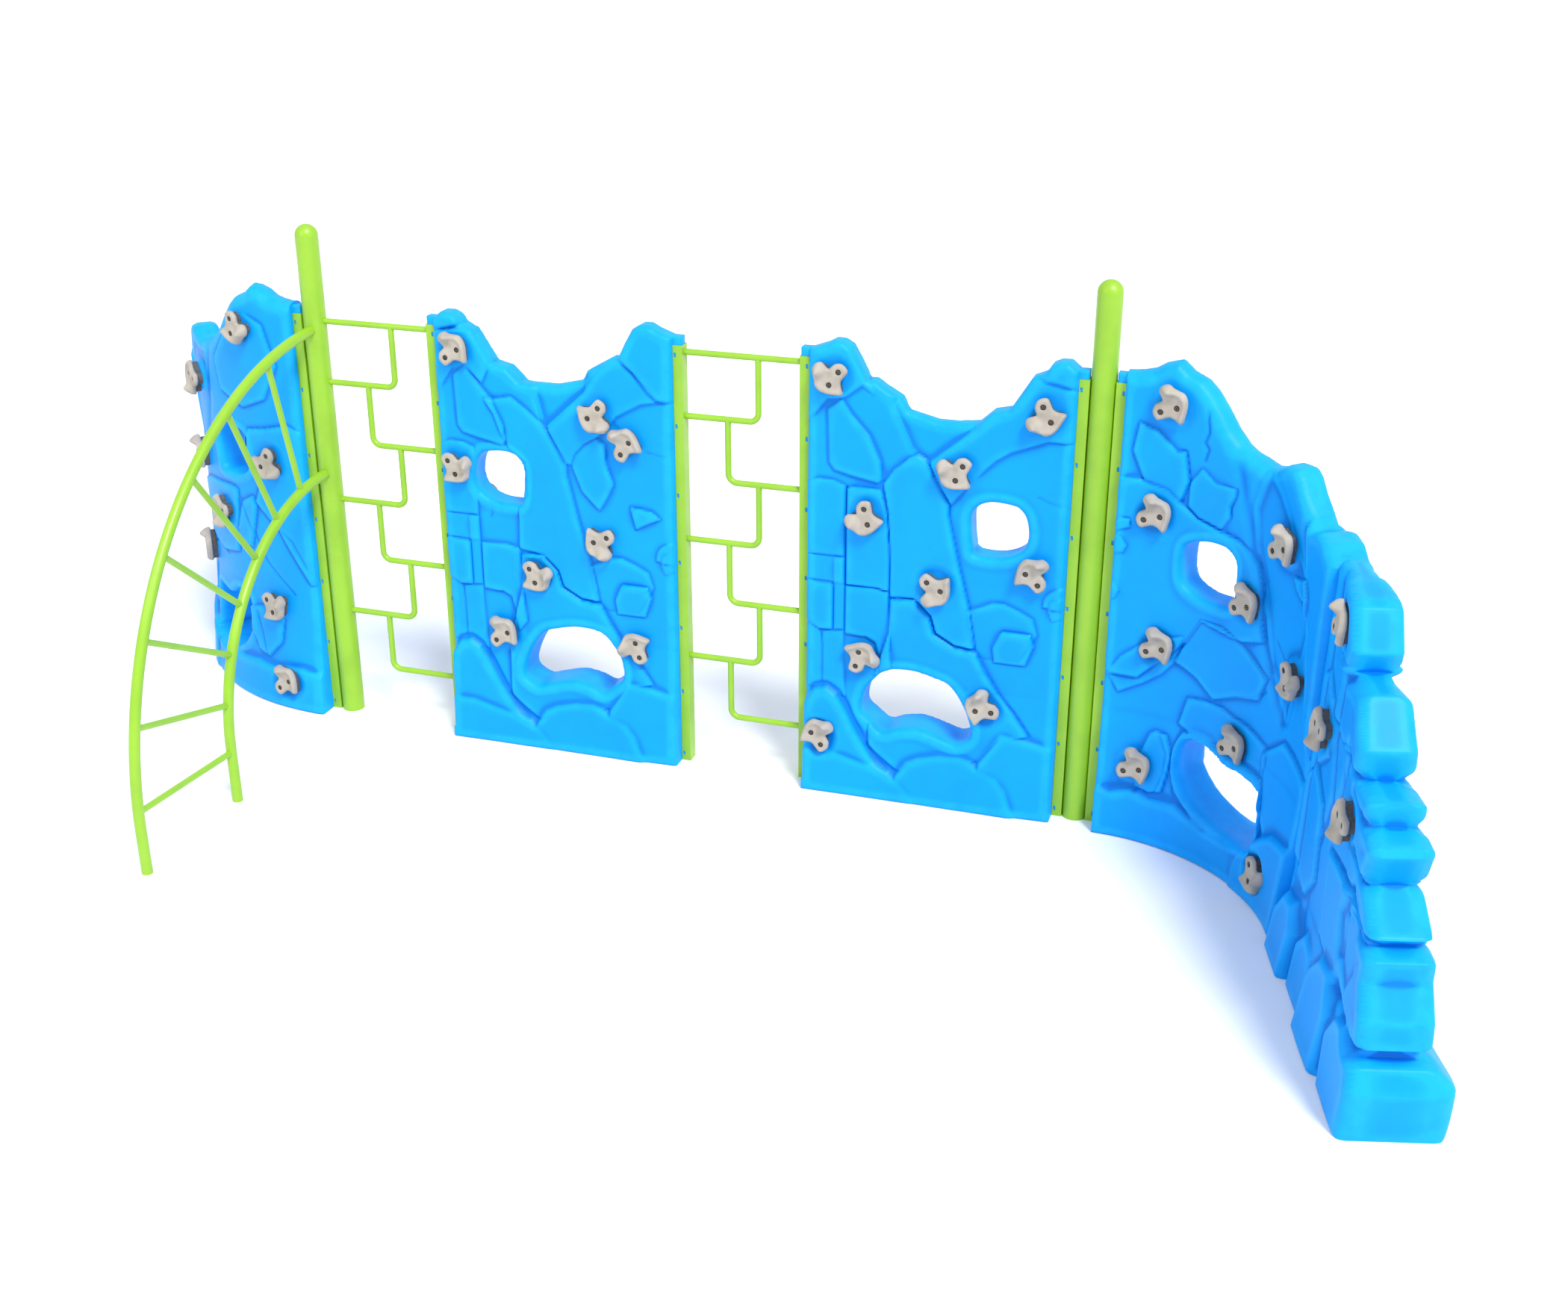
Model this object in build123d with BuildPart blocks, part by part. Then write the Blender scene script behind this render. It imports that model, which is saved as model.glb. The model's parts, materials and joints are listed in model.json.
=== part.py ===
from build123d import *
import os
from math import acos, cos, degrees, radians, sin

# A free-standing playground climbing wall. Two round posts carry a straight run of
# ladder, panel, ladder, panel, and a curved wing runs out from each post. Millimetres,
# +Z up, +X along the straight run, the origin on the ground midway between the posts.

# ---- Posts and caps ---------------------------------------------------------------
POST_OD = 127.0
POST_WALL = 3.2
POST_HEIGHT = 2831.5
CAP_WALL = 4.0
CAP_SKIRT = 45.0
CAP_CLEARANCE = 0.5

# ---- Straight run -----------------------------------------------------------------
LADDER_GAP = 640.0
PANEL_WIDTH = 1481.0
PANEL_HEIGHT = 2500.0

# ---- Channels that hold the panels' edges -----------------------------------------
CHANNEL_DEPTH = 76.0
CHANNEL_FLANGE = 52.0
CHANNEL_WALL = 5.0
CHANNEL_HEIGHT = 2405.0
CHANNEL_CORNER = 3.0
SLOT_LENGTH = 26.0
SLOT_WIDTH = 14.0
SLOT_SETBACK = 40.0
SLOT_COUNT = 7
SLOT_PITCH = 385.0
SLOT_FIRST = 44.0
CHANNEL_FIT = 0.5
BODY_GAP = 1.0
SCREW_SHANK_D = 8.0
SCREW_HEAD_D = 22.0
SCREW_HEAD_HEIGHT = 5.0
SCREW_LENGTH = 22.0
HOLE_CLEARANCE = 0.4

# ---- Moulded wall sections --------------------------------------------------------
SKIN = 8.0
TONGUE_RISE = 45.0
# Height and half depth of a section, from the ground to the top of the ridge.
FACE_PROFILE = ((0, 150), (330, 118), (700, 84), (1900, 82), (2500, 57))
# The ridge line of a panel: distance from its left channel's web, and height.
PANEL_RIDGE = (
    (100, 2484), (150, 2484), (190, 2465), (215, 2425), (280, 2396), (385, 2225), (470, 2205),
    (545, 2135), (600, 2128), (750, 2128), (900, 2165), (945, 2230), (1085, 2310), (1115, 2308),
    (1210, 2475), (1255, 2500), (1300, 2500), (1340, 2478),
)
PANEL_EDGE_HEIGHT = 2445.0
WINDOW_CENTRE = (405.0, 1585.0)
WINDOW_RIM = (
    (-137, 79), (-99, 132), (-52, 148), (40, 154), (107, 131), (144, 75), (144, -12),
    (134, -91), (114, -137), (-14, -140), (-115, -95), (-150, -20),
)
CRAWL_CENTRE = (800.0, 570.0)
CRAWL_RIM = (
    (-300, -130), (-225, -195), (-137, -175), (-10, -142), (100, -155), (185, -185), (250, -140),
    (310, -80), (300, 20), (260, 90), (190, 165), (100, 187), (20, 187), (-80, 165), (-170, 130),
    (-252, 20),
)

# ---- Wings ------------------------------------------------------------------------
WING_LEAD = 119.0
WING_RADIUS = 1180.0
WING_TURN = 75.0
WING_SHOULDER = 120.0
WING_TOP_HALF = 57.0
WING_FACE_HALF = 83.0
# Distance along the wing from the post's axis, and height of the ridge.
WING_RIDGE = (
    (182, 2470), (248, 2487), (300, 2520), (376, 2543), (430, 2495), (507, 2463), (558, 2419),
    (622, 2338), (683, 2253), (743, 2195), (807, 2167), (863, 2150), (923, 2135), (994, 2148),
    (1060, 2185), (1133, 2184), (1171, 2153), (1218, 2082), (1293, 2004), (1367, 1961),
    (1443, 1981), (1532, 1964), (1590, 1925),
)
WING_START_HEIGHT = 2465.0
WING_END_HEIGHT = 1900.0
WING_WINDOW_CENTRE = (658.0, 1545.0)
WING_WINDOW_RIM = (
    (-149, 85), (-120, 119), (-74, 137), (6, 150), (86, 140), (138, 98), (151, 46), (153, -19),
    (150, -85), (128, -144), (53, -151), (-38, -146), (-130, -101), (-154, -20),
)
WING_CRAWL_CENTRE = (890.0, 430.0)
WING_CRAWL_RIM = (
    (-279, 60), (-249, 187), (-126, 203), (-16, 144), (120, 143), (235, 131), (264, 53),
    (272, -41), (276, -138), (254, -186), (34, -209), (-152, -143), (-250, -39),
)

# ---- Stepped end sections ---------------------------------------------------------
# Side view: distance past the curved section, and height.
END_STEPS = (
    (0, 0), (1526, 0), (1536, 225), (1500, 330), (1436, 350), (1436, 400), (1510, 430),
    (1500, 545), (1419, 684), (1428, 785), (1332, 813), (1386, 864), (1180, 995), (1248, 1155),
    (1237, 1190), (1093, 1212), (1086, 1310), (873, 1305), (871, 1432), (814, 1495), (719, 1612),
    (501, 1621), (529, 1716), (443, 1887), (395, 1913), (244, 1934), (0, 1936),
)
# Front view: offset towards the hollow side of the curve, and height.
END_PROFILE = (
    (170, 0), (165, 225), (104, 400), (80, 900), (60, 1940),
    (-100, 1940), (-115, 900), (-130, 400), (-310, 225), (-265, 0),
)
# Plan: distance past the curved section, and offset towards the hollow side.
END_PLAN = (
    (0, 85), (170, 148), (350, 95), (480, 112), (936, 157), (1224, 150), (1438, 170),
    (1536, 80), (1536, -265), (1400, -310), (1150, -250), (700, -140), (0, -116),
)
JOINT_BOLT_LEVELS = (300.0, 800.0, 1300.0, 1750.0)
JOINT_BOLT_D = 12.0
JOINT_HEAD_D = 24.0
JOINT_HEAD_HEIGHT = 8.0

# ---- Ladders of the straight run --------------------------------------------------
RUNG_OD = 33.4
RUNG_WALL = 2.6
RUNG_TOP = 2366.0
RUNG_STEP = 344.5
RUNG_COUNT = 7
RUNG_BEND = 50.0
UPRIGHT_OFFSET = 85.0
WELD_GAP = 2.0

# ---- Arched ladder at the left post -----------------------------------------------
RAIL_OD = 57.0
RAIL_WALL = 3.2
OUTER_REACH = 2066.0
OUTER_FOOT = 245.0
OUTER_RADIUS = 2075.0
INNER_REACH = 1249.0
INNER_FOOT = 320.0
INNER_RADIUS = 1172.0
ARCH_RUNGS = 7
OUTER_FIRST = 343.0
OUTER_PITCH = 440.0
INNER_FIRST = 293.0
INNER_PITCH = 271.0

# ---- Hand and foot holds ----------------------------------------------------------
# Outline of the hold about the middle of its two bolts, which lie along its x axis.
HOLD_OUTLINE = (
    (-82, 13), (-81, -18), (-68, -37), (-41, -38), (-10, -37), (13, -52), (42, -84), (72, -45),
    (93, -6), (100, 27), (94, 56), (73, 75), (51, 94), (34, 116), (10, 122), (-12, 115),
    (-24, 96), (-19, 54), (-37, 46), (-61, 39),
)
HOLD_THICKNESS = 30.0
HOLD_PITCH = 84.0
HORN_CENTRE = (36.0, 76.0)
HORN_BASE_R = 36.0
HORN_TOP_R = 18.0
HORN_RISE = 28.0
SPACER_SHARE = 0.86
SPACER_THICKNESS = 28.0
BOLT_D = 10.0
BOLT_HEAD_D = 20.0
BOLT_HEAD_HEIGHT = 9.0
BOLT_SOCKET = 8.0
COUNTERBORE_D = 29.0
COUNTERBORE_DEPTH = 15.0
INSERT_OD = 18.0
INSERT_LENGTH = 24.0
PANEL_DIP = 1.0
WING_DIP = 3.0
# Each hold: place across and up its face, and the turn of its bolt line, seen from outside.
PANEL_HOLDS_A = (
    (183, 2275, 34), (145, 1640, -61), (1000, 2021, -135), (1179, 1847, 55),
    (1016, 1313, -156), (597, 1055, -69), (389, 660, 36), (1215, 683, 107),
)
PANEL_HOLDS_B = (
    (203, 2321, -125), (389, 1613, -76), (356, 809, 79), (141, 317, 132), (870, 1896, -115),
    (759, 1271, -29), (1294, 2234, -60), (1266, 1372, 140), (1051, 599, -179),
)
WING_HOLDS_INSIDE = (
    (365, 2324, 20), (321, 1772, 18), (397, 1081, 18), (332, 400, 15), (919, 1448, 20),
    (936, 701, 20), (1156, 1810, 22), (1352, 1232, -71), (1312, 175, -75),
)
WING_HOLDS_OUTSIDE = (
    (467, 2312, -93), (340, 1545, -124), (411, 635, -57), (330, 161, 36), (998, 1906, 170),
    (1074, 1400, 20), (792, 1146, 180), (1227, 752, 15),
)
END_HOLDS_INSIDE = ((319, 1749, 20), (249, 1240, 180), (811, 1083, 175))

# ---- Sizes worked out from the ones above -----------------------------------------
POST_R = POST_OD / 2
RAIL_R = RAIL_OD / 2
RUNG_R = RUNG_OD / 2
SPAN = POST_OD + 2 * (LADDER_GAP + PANEL_WIDTH)
LEFT_POST_X = -SPAN / 2
RIGHT_POST_X = SPAN / 2
LEFT_PANEL_X = LEFT_POST_X + POST_R + LADDER_GAP + PANEL_WIDTH / 2
RIGHT_PANEL_X = RIGHT_POST_X - POST_R - PANEL_WIDTH / 2
HALF_PANEL = PANEL_WIDTH / 2
BODY_INSET = CHANNEL_FLANGE + BODY_GAP
TONGUE_START = CHANNEL_WALL + CHANNEL_FIT
TONGUE_DEPTH = CHANNEL_DEPTH - 2 * (CHANNEL_WALL + CHANNEL_FIT)
TONGUE_HEIGHT = CHANNEL_HEIGHT + TONGUE_RISE
SLOT_LEVELS = [SLOT_FIRST + i * SLOT_PITCH for i in range(SLOT_COUNT)]
WING_BODY_START = POST_R + BODY_INSET
WING_ARC_END = WING_LEAD + WING_RADIUS * radians(WING_TURN)
DRAWN_WIDTH = 1481.0
DRAWN_HEIGHT = 2500.0
THROUGH = 900.0
UP = (0, 0, 1)


def across(u):
    """Place across the panel, from its middle, for a distance u drawn from its left web."""
    return (u / DRAWN_WIDTH - 0.5) * PANEL_WIDTH


def level(z):
    """Height on the panel for a height z drawn on a panel of the drawn height."""
    return z * PANEL_HEIGHT / DRAWN_HEIGHT


def half_depth(z):
    """Half depth and slope of a panel's face at the height z, along its profile."""
    for (low, deep), (high, thin) in zip(FACE_PROFILE, FACE_PROFILE[1:]):
        if z <= level(high):
            slope = (thin - deep) / (level(high) - level(low))
            return deep + slope * (z - level(low)), slope
    return FACE_PROFILE[-1][1], 0.0


def heading(s):
    """Angle in degrees that the wing has turned by, at the distance s along it."""
    return min(max(degrees((s - WING_LEAD) / WING_RADIUS), 0.0), WING_TURN)


def wing_directions(s):
    """Unit vectors along the wing and towards the hollow side of its curve."""
    turn = radians(heading(s))
    return Vector(cos(turn), -sin(turn), 0), Vector(-sin(turn), -cos(turn), 0)


def wing_point(s):
    """Point on the right wing's middle line: a lead, an arc, then a straight run."""
    turn = radians(heading(s))
    along, _ = wing_directions(s)
    straight = min(s, WING_LEAD)
    past = max(s - WING_ARC_END, 0.0)
    corner = Vector(RIGHT_POST_X + straight, 0, 0)
    arc = Vector(WING_RADIUS * sin(turn), WING_RADIUS * (cos(turn) - 1), 0)
    return corner + arc + along * past


def section_plane(s):
    """Plane across the wing at s: x towards the hollow side, y up."""
    along, inside = wing_directions(s)
    return Plane(origin=wing_point(s), x_dir=inside, z_dir=-along)


def side_plane(s):
    """Plane along the wing at s: x along it, y up, facing the hollow side."""
    along, inside = wing_directions(s)
    return Plane(origin=wing_point(s), x_dir=along, z_dir=inside)


def turned_plane(origin, right, outward, turn):
    """Plane on a face, facing outward, with its x axis turned anticlockwise as seen."""
    flat = Plane(origin=origin, x_dir=right, z_dir=outward)
    along = flat.x_dir * cos(radians(turn)) + flat.y_dir * sin(radians(turn))
    return Plane(origin=origin, x_dir=along, z_dir=outward)


def panel_hold_plane(u, z, turn, front):
    """Plane of a hold on a panel's front or back face, in the panel's own frame."""
    depth, slope = half_depth(level(z))
    way = -1 if front else 1
    outward = Vector(0, way, -slope).normalized()
    place = Vector(-way * across(u), way * depth, level(z))
    return turned_plane(place, (-way, 0, 0), outward, turn)


def wing_hold_plane(s, z, turn, inside):
    """Plane of a hold on the hollow or the bulging side of a wing."""
    along, hollow = wing_directions(s)
    way = 1 if inside else -1
    if s > WING_ARC_END:
        depth, slope = end_half_depth(z)
    else:
        depth, slope = wing_half_depth(z)
    outward = (hollow * way + Vector(0, 0, -slope)).normalized()
    return turned_plane(wing_point(s) + hollow * (way * depth) + Vector(0, 0, z),
                        along * way, outward, turn)


def wing_half_depth(z):
    """Half depth and slope of the curved section's face at the height z."""
    (low, deep), (knee, mid), (high, _) = FACE_PROFILE[:3]
    if z < knee:
        return deep + (mid - deep) * z / knee, (mid - deep) / (knee - low)
    if z < high:
        slope = (WING_FACE_HALF - mid) / (high - knee)
        return mid + slope * (z - knee), slope
    return WING_FACE_HALF, 0.0


def end_half_depth(z):
    """Depth of the end section's hollow-side face at the height z, above its foot."""
    (deep, low), (thin, high) = END_PROFILE[3], END_PROFILE[4]
    slope = (thin - deep) / (high - low)
    return deep + slope * (z - low), slope


def outward(start, end, way):
    """Unit vector square to an edge, to its right, or to its left when way is -1."""
    edge = (end - start).normalized()
    return Vector(edge.Y, -edge.X) * way


def outline(points, growth=0.0):
    """Sketch inside straight lines through the points, every line moved out by growth."""
    loop = [Vector(*point) for point in points]
    area = sum(a.X * b.Y - a.Y * b.X for a, b in zip(loop, loop[1:] + loop[:1]))
    way = 1 if area > 0 else -1
    moved = []
    for before, point, after in zip(loop[-1:] + loop[:-1], loop, loop[1:] + loop[:1]):
        first = outward(before, point, way)
        second = outward(point, after, way)
        moved.append(point + (first + second) * (growth / (1 + first.dot(second))))
    with BuildSketch() as shape:
        with BuildLine():
            Polyline(*moved, close=True)
        make_face()
    return shape.sketch


def rounded(points, growth=0.0):
    """Sketch inside one smooth closed curve, its points moved out from their middle."""
    middle = sum((Vector(*point) for point in points), Vector()) / len(points)
    arms = [Vector(*point) - middle for point in points]
    with BuildSketch() as shape:
        with BuildLine():
            Spline(*[middle + arm * (1 + growth / arm.length) for arm in arms], periodic=True)
        make_face()
    return shape.sketch


# ---- Posts ------------------------------------------------------------------------
with BuildPart() as post_blank:
    with BuildSketch():
        Circle(POST_R)
        Circle(POST_R - POST_WALL, mode=Mode.SUBTRACT)
    extrude(amount=POST_HEIGHT)

with BuildPart() as cap_blank:
    with Locations((0, 0, POST_HEIGHT)):
        Sphere(POST_R, arc_size1=0, align=(Align.CENTER, Align.CENTER, Align.MIN))
    with BuildSketch(Plane.XY.offset(POST_HEIGHT - CAP_SKIRT)):
        Circle(POST_R - POST_WALL - CAP_CLEARANCE)
    extrude(amount=CAP_SKIRT)
    with Locations((0, 0, POST_HEIGHT)):
        Sphere(
            POST_R - POST_WALL - CAP_WALL,
            arc_size1=0,
            align=(Align.CENTER, Align.CENTER, Align.MIN),
            mode=Mode.SUBTRACT,
        )
    with BuildSketch(Plane.XY.offset(POST_HEIGHT - CAP_SKIRT)):
        Circle(POST_R - POST_WALL - CAP_WALL)
    extrude(amount=CAP_SKIRT, mode=Mode.SUBTRACT)

# ---- Channel, with its web at x = 0 and its mouth towards +x -----------------------
with BuildPart() as channel_blank:
    with BuildSketch():
        Rectangle(CHANNEL_FLANGE, CHANNEL_DEPTH, align=(Align.MIN, Align.CENTER))
        with Locations((CHANNEL_WALL, 0)):
            Rectangle(
                CHANNEL_FLANGE,
                CHANNEL_DEPTH - 2 * CHANNEL_WALL,
                align=(Align.MIN, Align.CENTER),
                mode=Mode.SUBTRACT,
            )
    extrude(amount=CHANNEL_HEIGHT)
    fillet(channel_blank.edges().filter_by(Axis.Z).group_by(Axis.X)[0], CHANNEL_CORNER)
    with BuildSketch(Plane.XZ):
        with Locations(*[(SLOT_SETBACK, z) for z in SLOT_LEVELS]):
            SlotOverall(SLOT_LENGTH, SLOT_WIDTH, rotation=90)
    extrude(amount=CHANNEL_DEPTH, both=True, mode=Mode.SUBTRACT)

# ---- Screw that holds a tongue in a channel, seen from the back flange -------------
with BuildPart() as channel_screw_blank:
    with BuildSketch(Plane.XZ.offset(-CHANNEL_DEPTH / 2)):
        with Locations(*[(SLOT_SETBACK, z) for z in SLOT_LEVELS]):
            Circle(SCREW_HEAD_D / 2)
    extrude(amount=-SCREW_HEAD_HEIGHT)
    fillet(channel_screw_blank.faces().sort_by(Axis.Y)[-1].edges(), SCREW_HEAD_HEIGHT / 2)
    with BuildSketch(Plane.XZ.offset(-CHANNEL_DEPTH / 2)):
        with Locations(*[(SLOT_SETBACK, z) for z in SLOT_LEVELS]):
            Circle(SCREW_SHANK_D / 2)
    extrude(amount=SCREW_LENGTH)


def screw_holes(web_x, way):
    """Cuts the holes for one channel's screws in the back of the tongue inside it."""
    with Locations(*[(web_x + way * SLOT_SETBACK, CHANNEL_DEPTH / 2, z) for z in SLOT_LEVELS]):
        Cylinder(
            SCREW_SHANK_D / 2 + HOLE_CLEARANCE,
            2 * (SCREW_LENGTH + SKIN),
            rotation=(90, 0, 0),
            mode=Mode.SUBTRACT,
        )


def insert_holes(planes):
    """Cuts the seats of the threaded inserts behind every hold on the planes."""
    with Locations(*planes):
        with Locations((-HOLD_PITCH / 2, 0), (HOLD_PITCH / 2, 0)):
            Cylinder(INSERT_OD / 2, 3 * SKIN, mode=Mode.SUBTRACT)


# ---- Flat panel, in its own frame: middle of its width at x = 0 --------------------
def panel_block(inset):
    """Outer shape of a panel and its tongues, or its hollow when the inset is the skin."""
    left = across(0) + BODY_INSET
    right = across(DRAWN_WIDTH) - BODY_INSET
    ridge = [(across(u), level(z)) for u, z in PANEL_RIDGE]
    edge = level(PANEL_EDGE_HEIGHT)
    profile = [(deep, level(z)) for z, deep in FACE_PROFILE]
    with BuildPart() as block:
        with BuildSketch(Plane.XZ):
            add(outline([(left, 0), (left, edge), *ridge, (right, edge), (right, 0)], -inset))
        extrude(amount=THROUGH, both=True)
        with BuildSketch(Plane.YZ):
            add(outline([*profile, *[(-y, z) for y, z in reversed(profile)]], -inset))
        extrude(amount=PANEL_WIDTH, both=True, mode=Mode.INTERSECT)
        with BuildSketch(Plane.XY.offset(inset)):
            for way in (-1, 1):
                with Locations((way * (HALF_PANEL - TONGUE_START - inset), 0)):
                    Rectangle(
                        BODY_INSET + 2 * SKIN,
                        TONGUE_DEPTH - 2 * inset,
                        align=(Align.MIN if way < 0 else Align.MAX, Align.CENTER),
                    )
        extrude(amount=TONGUE_HEIGHT - 2 * inset)
    return block.part


def panel_rim(centre, rim):
    """Points round one opening of the panel, in the panel's own frame."""
    return [(across(centre[0]) + x, level(centre[1]) + z) for x, z in rim]


panel_rims = [panel_rim(WINDOW_CENTRE, WINDOW_RIM), panel_rim(CRAWL_CENTRE, CRAWL_RIM)]
panel_holds_a = [panel_hold_plane(*place, True) for place in PANEL_HOLDS_A]
panel_holds_b = [panel_hold_plane(*place, False) for place in PANEL_HOLDS_B]

with BuildPart() as panel_hollow:
    add(panel_block(SKIN))
    for rim in panel_rims:
        with BuildSketch(Plane.XZ):
            add(rounded(rim, SKIN))
        extrude(amount=THROUGH, both=True, mode=Mode.SUBTRACT)

with BuildPart() as panel_blank:
    add(panel_block(0))
    add(panel_hollow.part, mode=Mode.SUBTRACT)
    for rim in panel_rims:
        with BuildSketch(Plane.XZ):
            add(rounded(rim))
        extrude(amount=THROUGH, both=True, mode=Mode.SUBTRACT)
    insert_holes(panel_holds_a + panel_holds_b)


# ---- Right wing: curved section ----------------------------------------------------
def wing_block(inset):
    """Outer shape of a curved section, or its hollow when the inset is the skin."""
    start = (WING_BODY_START + inset, WING_START_HEIGHT)
    end = (WING_ARC_END - inset, WING_END_HEIGHT)
    (_, deep), (knee, mid), (high, _) = FACE_PROFILE[:3]
    with BuildPart() as block:
        for s, top in (start, *WING_RIDGE, end):
            half = [(deep, 0), (mid, knee), (WING_FACE_HALF, high),
                    (WING_FACE_HALF, top - WING_SHOULDER), (WING_TOP_HALF, top)]
            with BuildSketch(section_plane(s)):
                add(outline([*half, *[(-y, z) for y, z in reversed(half)]], -inset))
        loft(ruled=True)
        with BuildSketch(Plane.XY.offset(inset)):
            with Locations((RIGHT_POST_X + POST_R + TONGUE_START + inset, 0)):
                Rectangle(
                    BODY_INSET + 2 * SKIN,
                    TONGUE_DEPTH - 2 * inset,
                    align=(Align.MIN, Align.CENTER),
                )
        extrude(amount=TONGUE_HEIGHT - 2 * inset)
    return block.part


# Each opening is cut straight through, square to the wing at the opening's own middle.
wing_rims = [
    (side_plane(s), [(x, z + dz) for x, dz in rim])
    for (s, z), rim in ((WING_WINDOW_CENTRE, WING_WINDOW_RIM), (WING_CRAWL_CENTRE, WING_CRAWL_RIM))
]
wing_holds_inside = [wing_hold_plane(*place, True) for place in WING_HOLDS_INSIDE]
wing_holds_outside = [wing_hold_plane(*place, False) for place in WING_HOLDS_OUTSIDE]
joint = section_plane(WING_ARC_END)
joint_places = [(0, z) for z in JOINT_BOLT_LEVELS]

with BuildPart() as wing_hollow:
    add(wing_block(SKIN))
    for plane, rim in wing_rims:
        with BuildSketch(plane):
            add(rounded(rim, SKIN))
        extrude(amount=WING_RADIUS / 3, both=True, mode=Mode.SUBTRACT)

with BuildPart() as wing_blank:
    add(wing_block(0))
    add(wing_hollow.part, mode=Mode.SUBTRACT)
    for plane, rim in wing_rims:
        with BuildSketch(plane):
            add(rounded(rim))
        extrude(amount=WING_RADIUS / 3, both=True, mode=Mode.SUBTRACT)
    insert_holes(wing_holds_inside + wing_holds_outside)
    with BuildSketch(joint):
        with Locations(*joint_places):
            Circle(JOINT_BOLT_D / 2 + HOLE_CLEARANCE)
    extrude(amount=2 * SKIN, both=True, mode=Mode.SUBTRACT)


# ---- Right wing: stepped end section -----------------------------------------------
def end_block(inset):
    """Outer shape of a stepped end, or its hollow when the inset is the skin."""
    along, inside = wing_directions(WING_ARC_END)
    foot = Plane(origin=wing_point(WING_ARC_END), x_dir=along, z_dir=UP)
    with BuildPart() as block:
        with BuildSketch(side_plane(WING_ARC_END)):
            add(outline(END_STEPS, -inset))
        extrude(amount=THROUGH, both=True)
        with BuildSketch(joint):
            add(outline(END_PROFILE, -inset))
        extrude(amount=2 * THROUGH, both=True, mode=Mode.INTERSECT)
        with BuildSketch(foot):
            add(outline([(s, -y) for s, y in END_PLAN], -inset))
        extrude(amount=3 * THROUGH, mode=Mode.INTERSECT)
    return block.part


end_holds_inside = [
    wing_hold_plane(WING_ARC_END + s, z, turn, True) for s, z, turn in END_HOLDS_INSIDE
]

with BuildPart() as end_blank:
    add(end_block(0))
    add(end_block(SKIN), mode=Mode.SUBTRACT)
    insert_holes(end_holds_inside)
    with BuildSketch(joint):
        with Locations(*joint_places):
            Circle(JOINT_BOLT_D / 2 + HOLE_CLEARANCE)
    extrude(amount=2 * SKIN, both=True, mode=Mode.SUBTRACT)

with BuildPart() as joint_bolts_blank:
    with BuildSketch(joint.offset(-SKIN)):
        with Locations(*joint_places):
            RegularPolygon(JOINT_HEAD_D / 2, 6)
    extrude(amount=-JOINT_HEAD_HEIGHT)
    with BuildSketch(joint.offset(-SKIN)):
        with Locations(*joint_places):
            Circle(JOINT_BOLT_D / 2)
    extrude(amount=2 * SKIN + 2 * JOINT_HEAD_HEIGHT)

with BuildPart() as joint_nuts_blank:
    with BuildSketch(joint.offset(SKIN)):
        with Locations(*joint_places):
            RegularPolygon(JOINT_HEAD_D / 2, 6)
            Circle(JOINT_BOLT_D / 2, mode=Mode.SUBTRACT)
    extrude(amount=JOINT_HEAD_HEIGHT)

# ---- One hold, standing on the plane z = 0 with its bolts along x -------------------
with BuildPart() as hold_right:
    with BuildSketch(Plane.XY.offset(SPACER_THICKNESS)):
        add(rounded(HOLD_OUTLINE))
    extrude(amount=HOLD_THICKNESS)
    with BuildSketch(Plane.XY.offset(SPACER_THICKNESS + HOLD_THICKNESS)):
        with Locations(HORN_CENTRE):
            Circle(HORN_BASE_R)
    with BuildSketch(Plane.XY.offset(SPACER_THICKNESS + HOLD_THICKNESS + HORN_RISE)):
        with Locations(HORN_CENTRE):
            Circle(HORN_TOP_R)
    loft()
    with Locations(Plane.XY.offset(SPACER_THICKNESS + HOLD_THICKNESS)):
        with Locations((-HOLD_PITCH / 2, 0), (HOLD_PITCH / 2, 0)):
            CounterBoreHole(BOLT_D / 2 + HOLE_CLEARANCE, COUNTERBORE_D / 2, COUNTERBORE_DEPTH)

with BuildPart() as hold_left:
    add(mirror(hold_right.part, about=Plane.XZ, mode=Mode.PRIVATE))


def spacer(dip):
    """The block under a hold, which starts the dip below the plane of its face."""
    with BuildPart() as block:
        with BuildSketch(Plane.XY.offset(-dip)):
            add(scale(rounded(HOLD_OUTLINE), by=SPACER_SHARE, mode=Mode.PRIVATE))
            with Locations((-HOLD_PITCH / 2, 0), (HOLD_PITCH / 2, 0)):
                Circle(BOLT_D / 2 + HOLE_CLEARANCE, mode=Mode.SUBTRACT)
        extrude(amount=SPACER_THICKNESS + dip)
    return block.part


spacer_flat = spacer(0)

with BuildPart() as bolts_blank:
    seat = SPACER_THICKNESS + HOLD_THICKNESS - COUNTERBORE_DEPTH
    with BuildSketch(Plane.XY.offset(seat)):
        with Locations((-HOLD_PITCH / 2, 0), (HOLD_PITCH / 2, 0)):
            Circle(BOLT_HEAD_D / 2)
    extrude(amount=BOLT_HEAD_HEIGHT)
    with BuildSketch(Plane.XY.offset(seat + BOLT_HEAD_HEIGHT)):
        with Locations((-HOLD_PITCH / 2, 0), (HOLD_PITCH / 2, 0)):
            RegularPolygon(BOLT_SOCKET / 2, 6)
    extrude(amount=-BOLT_HEAD_HEIGHT / 2, mode=Mode.SUBTRACT)
    with BuildSketch(Plane.XY.offset(seat)):
        with Locations((-HOLD_PITCH / 2, 0), (HOLD_PITCH / 2, 0)):
            Circle(BOLT_D / 2)
    extrude(amount=-seat - INSERT_LENGTH + HOLE_CLEARANCE)

with BuildPart() as inserts_blank:
    with BuildSketch():
        with Locations((-HOLD_PITCH / 2, 0), (HOLD_PITCH / 2, 0)):
            Circle(INSERT_OD / 2)
            Circle(BOLT_D / 2 + HOLE_CLEARANCE / 2, mode=Mode.SUBTRACT)
    extrude(amount=-INSERT_LENGTH)


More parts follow.
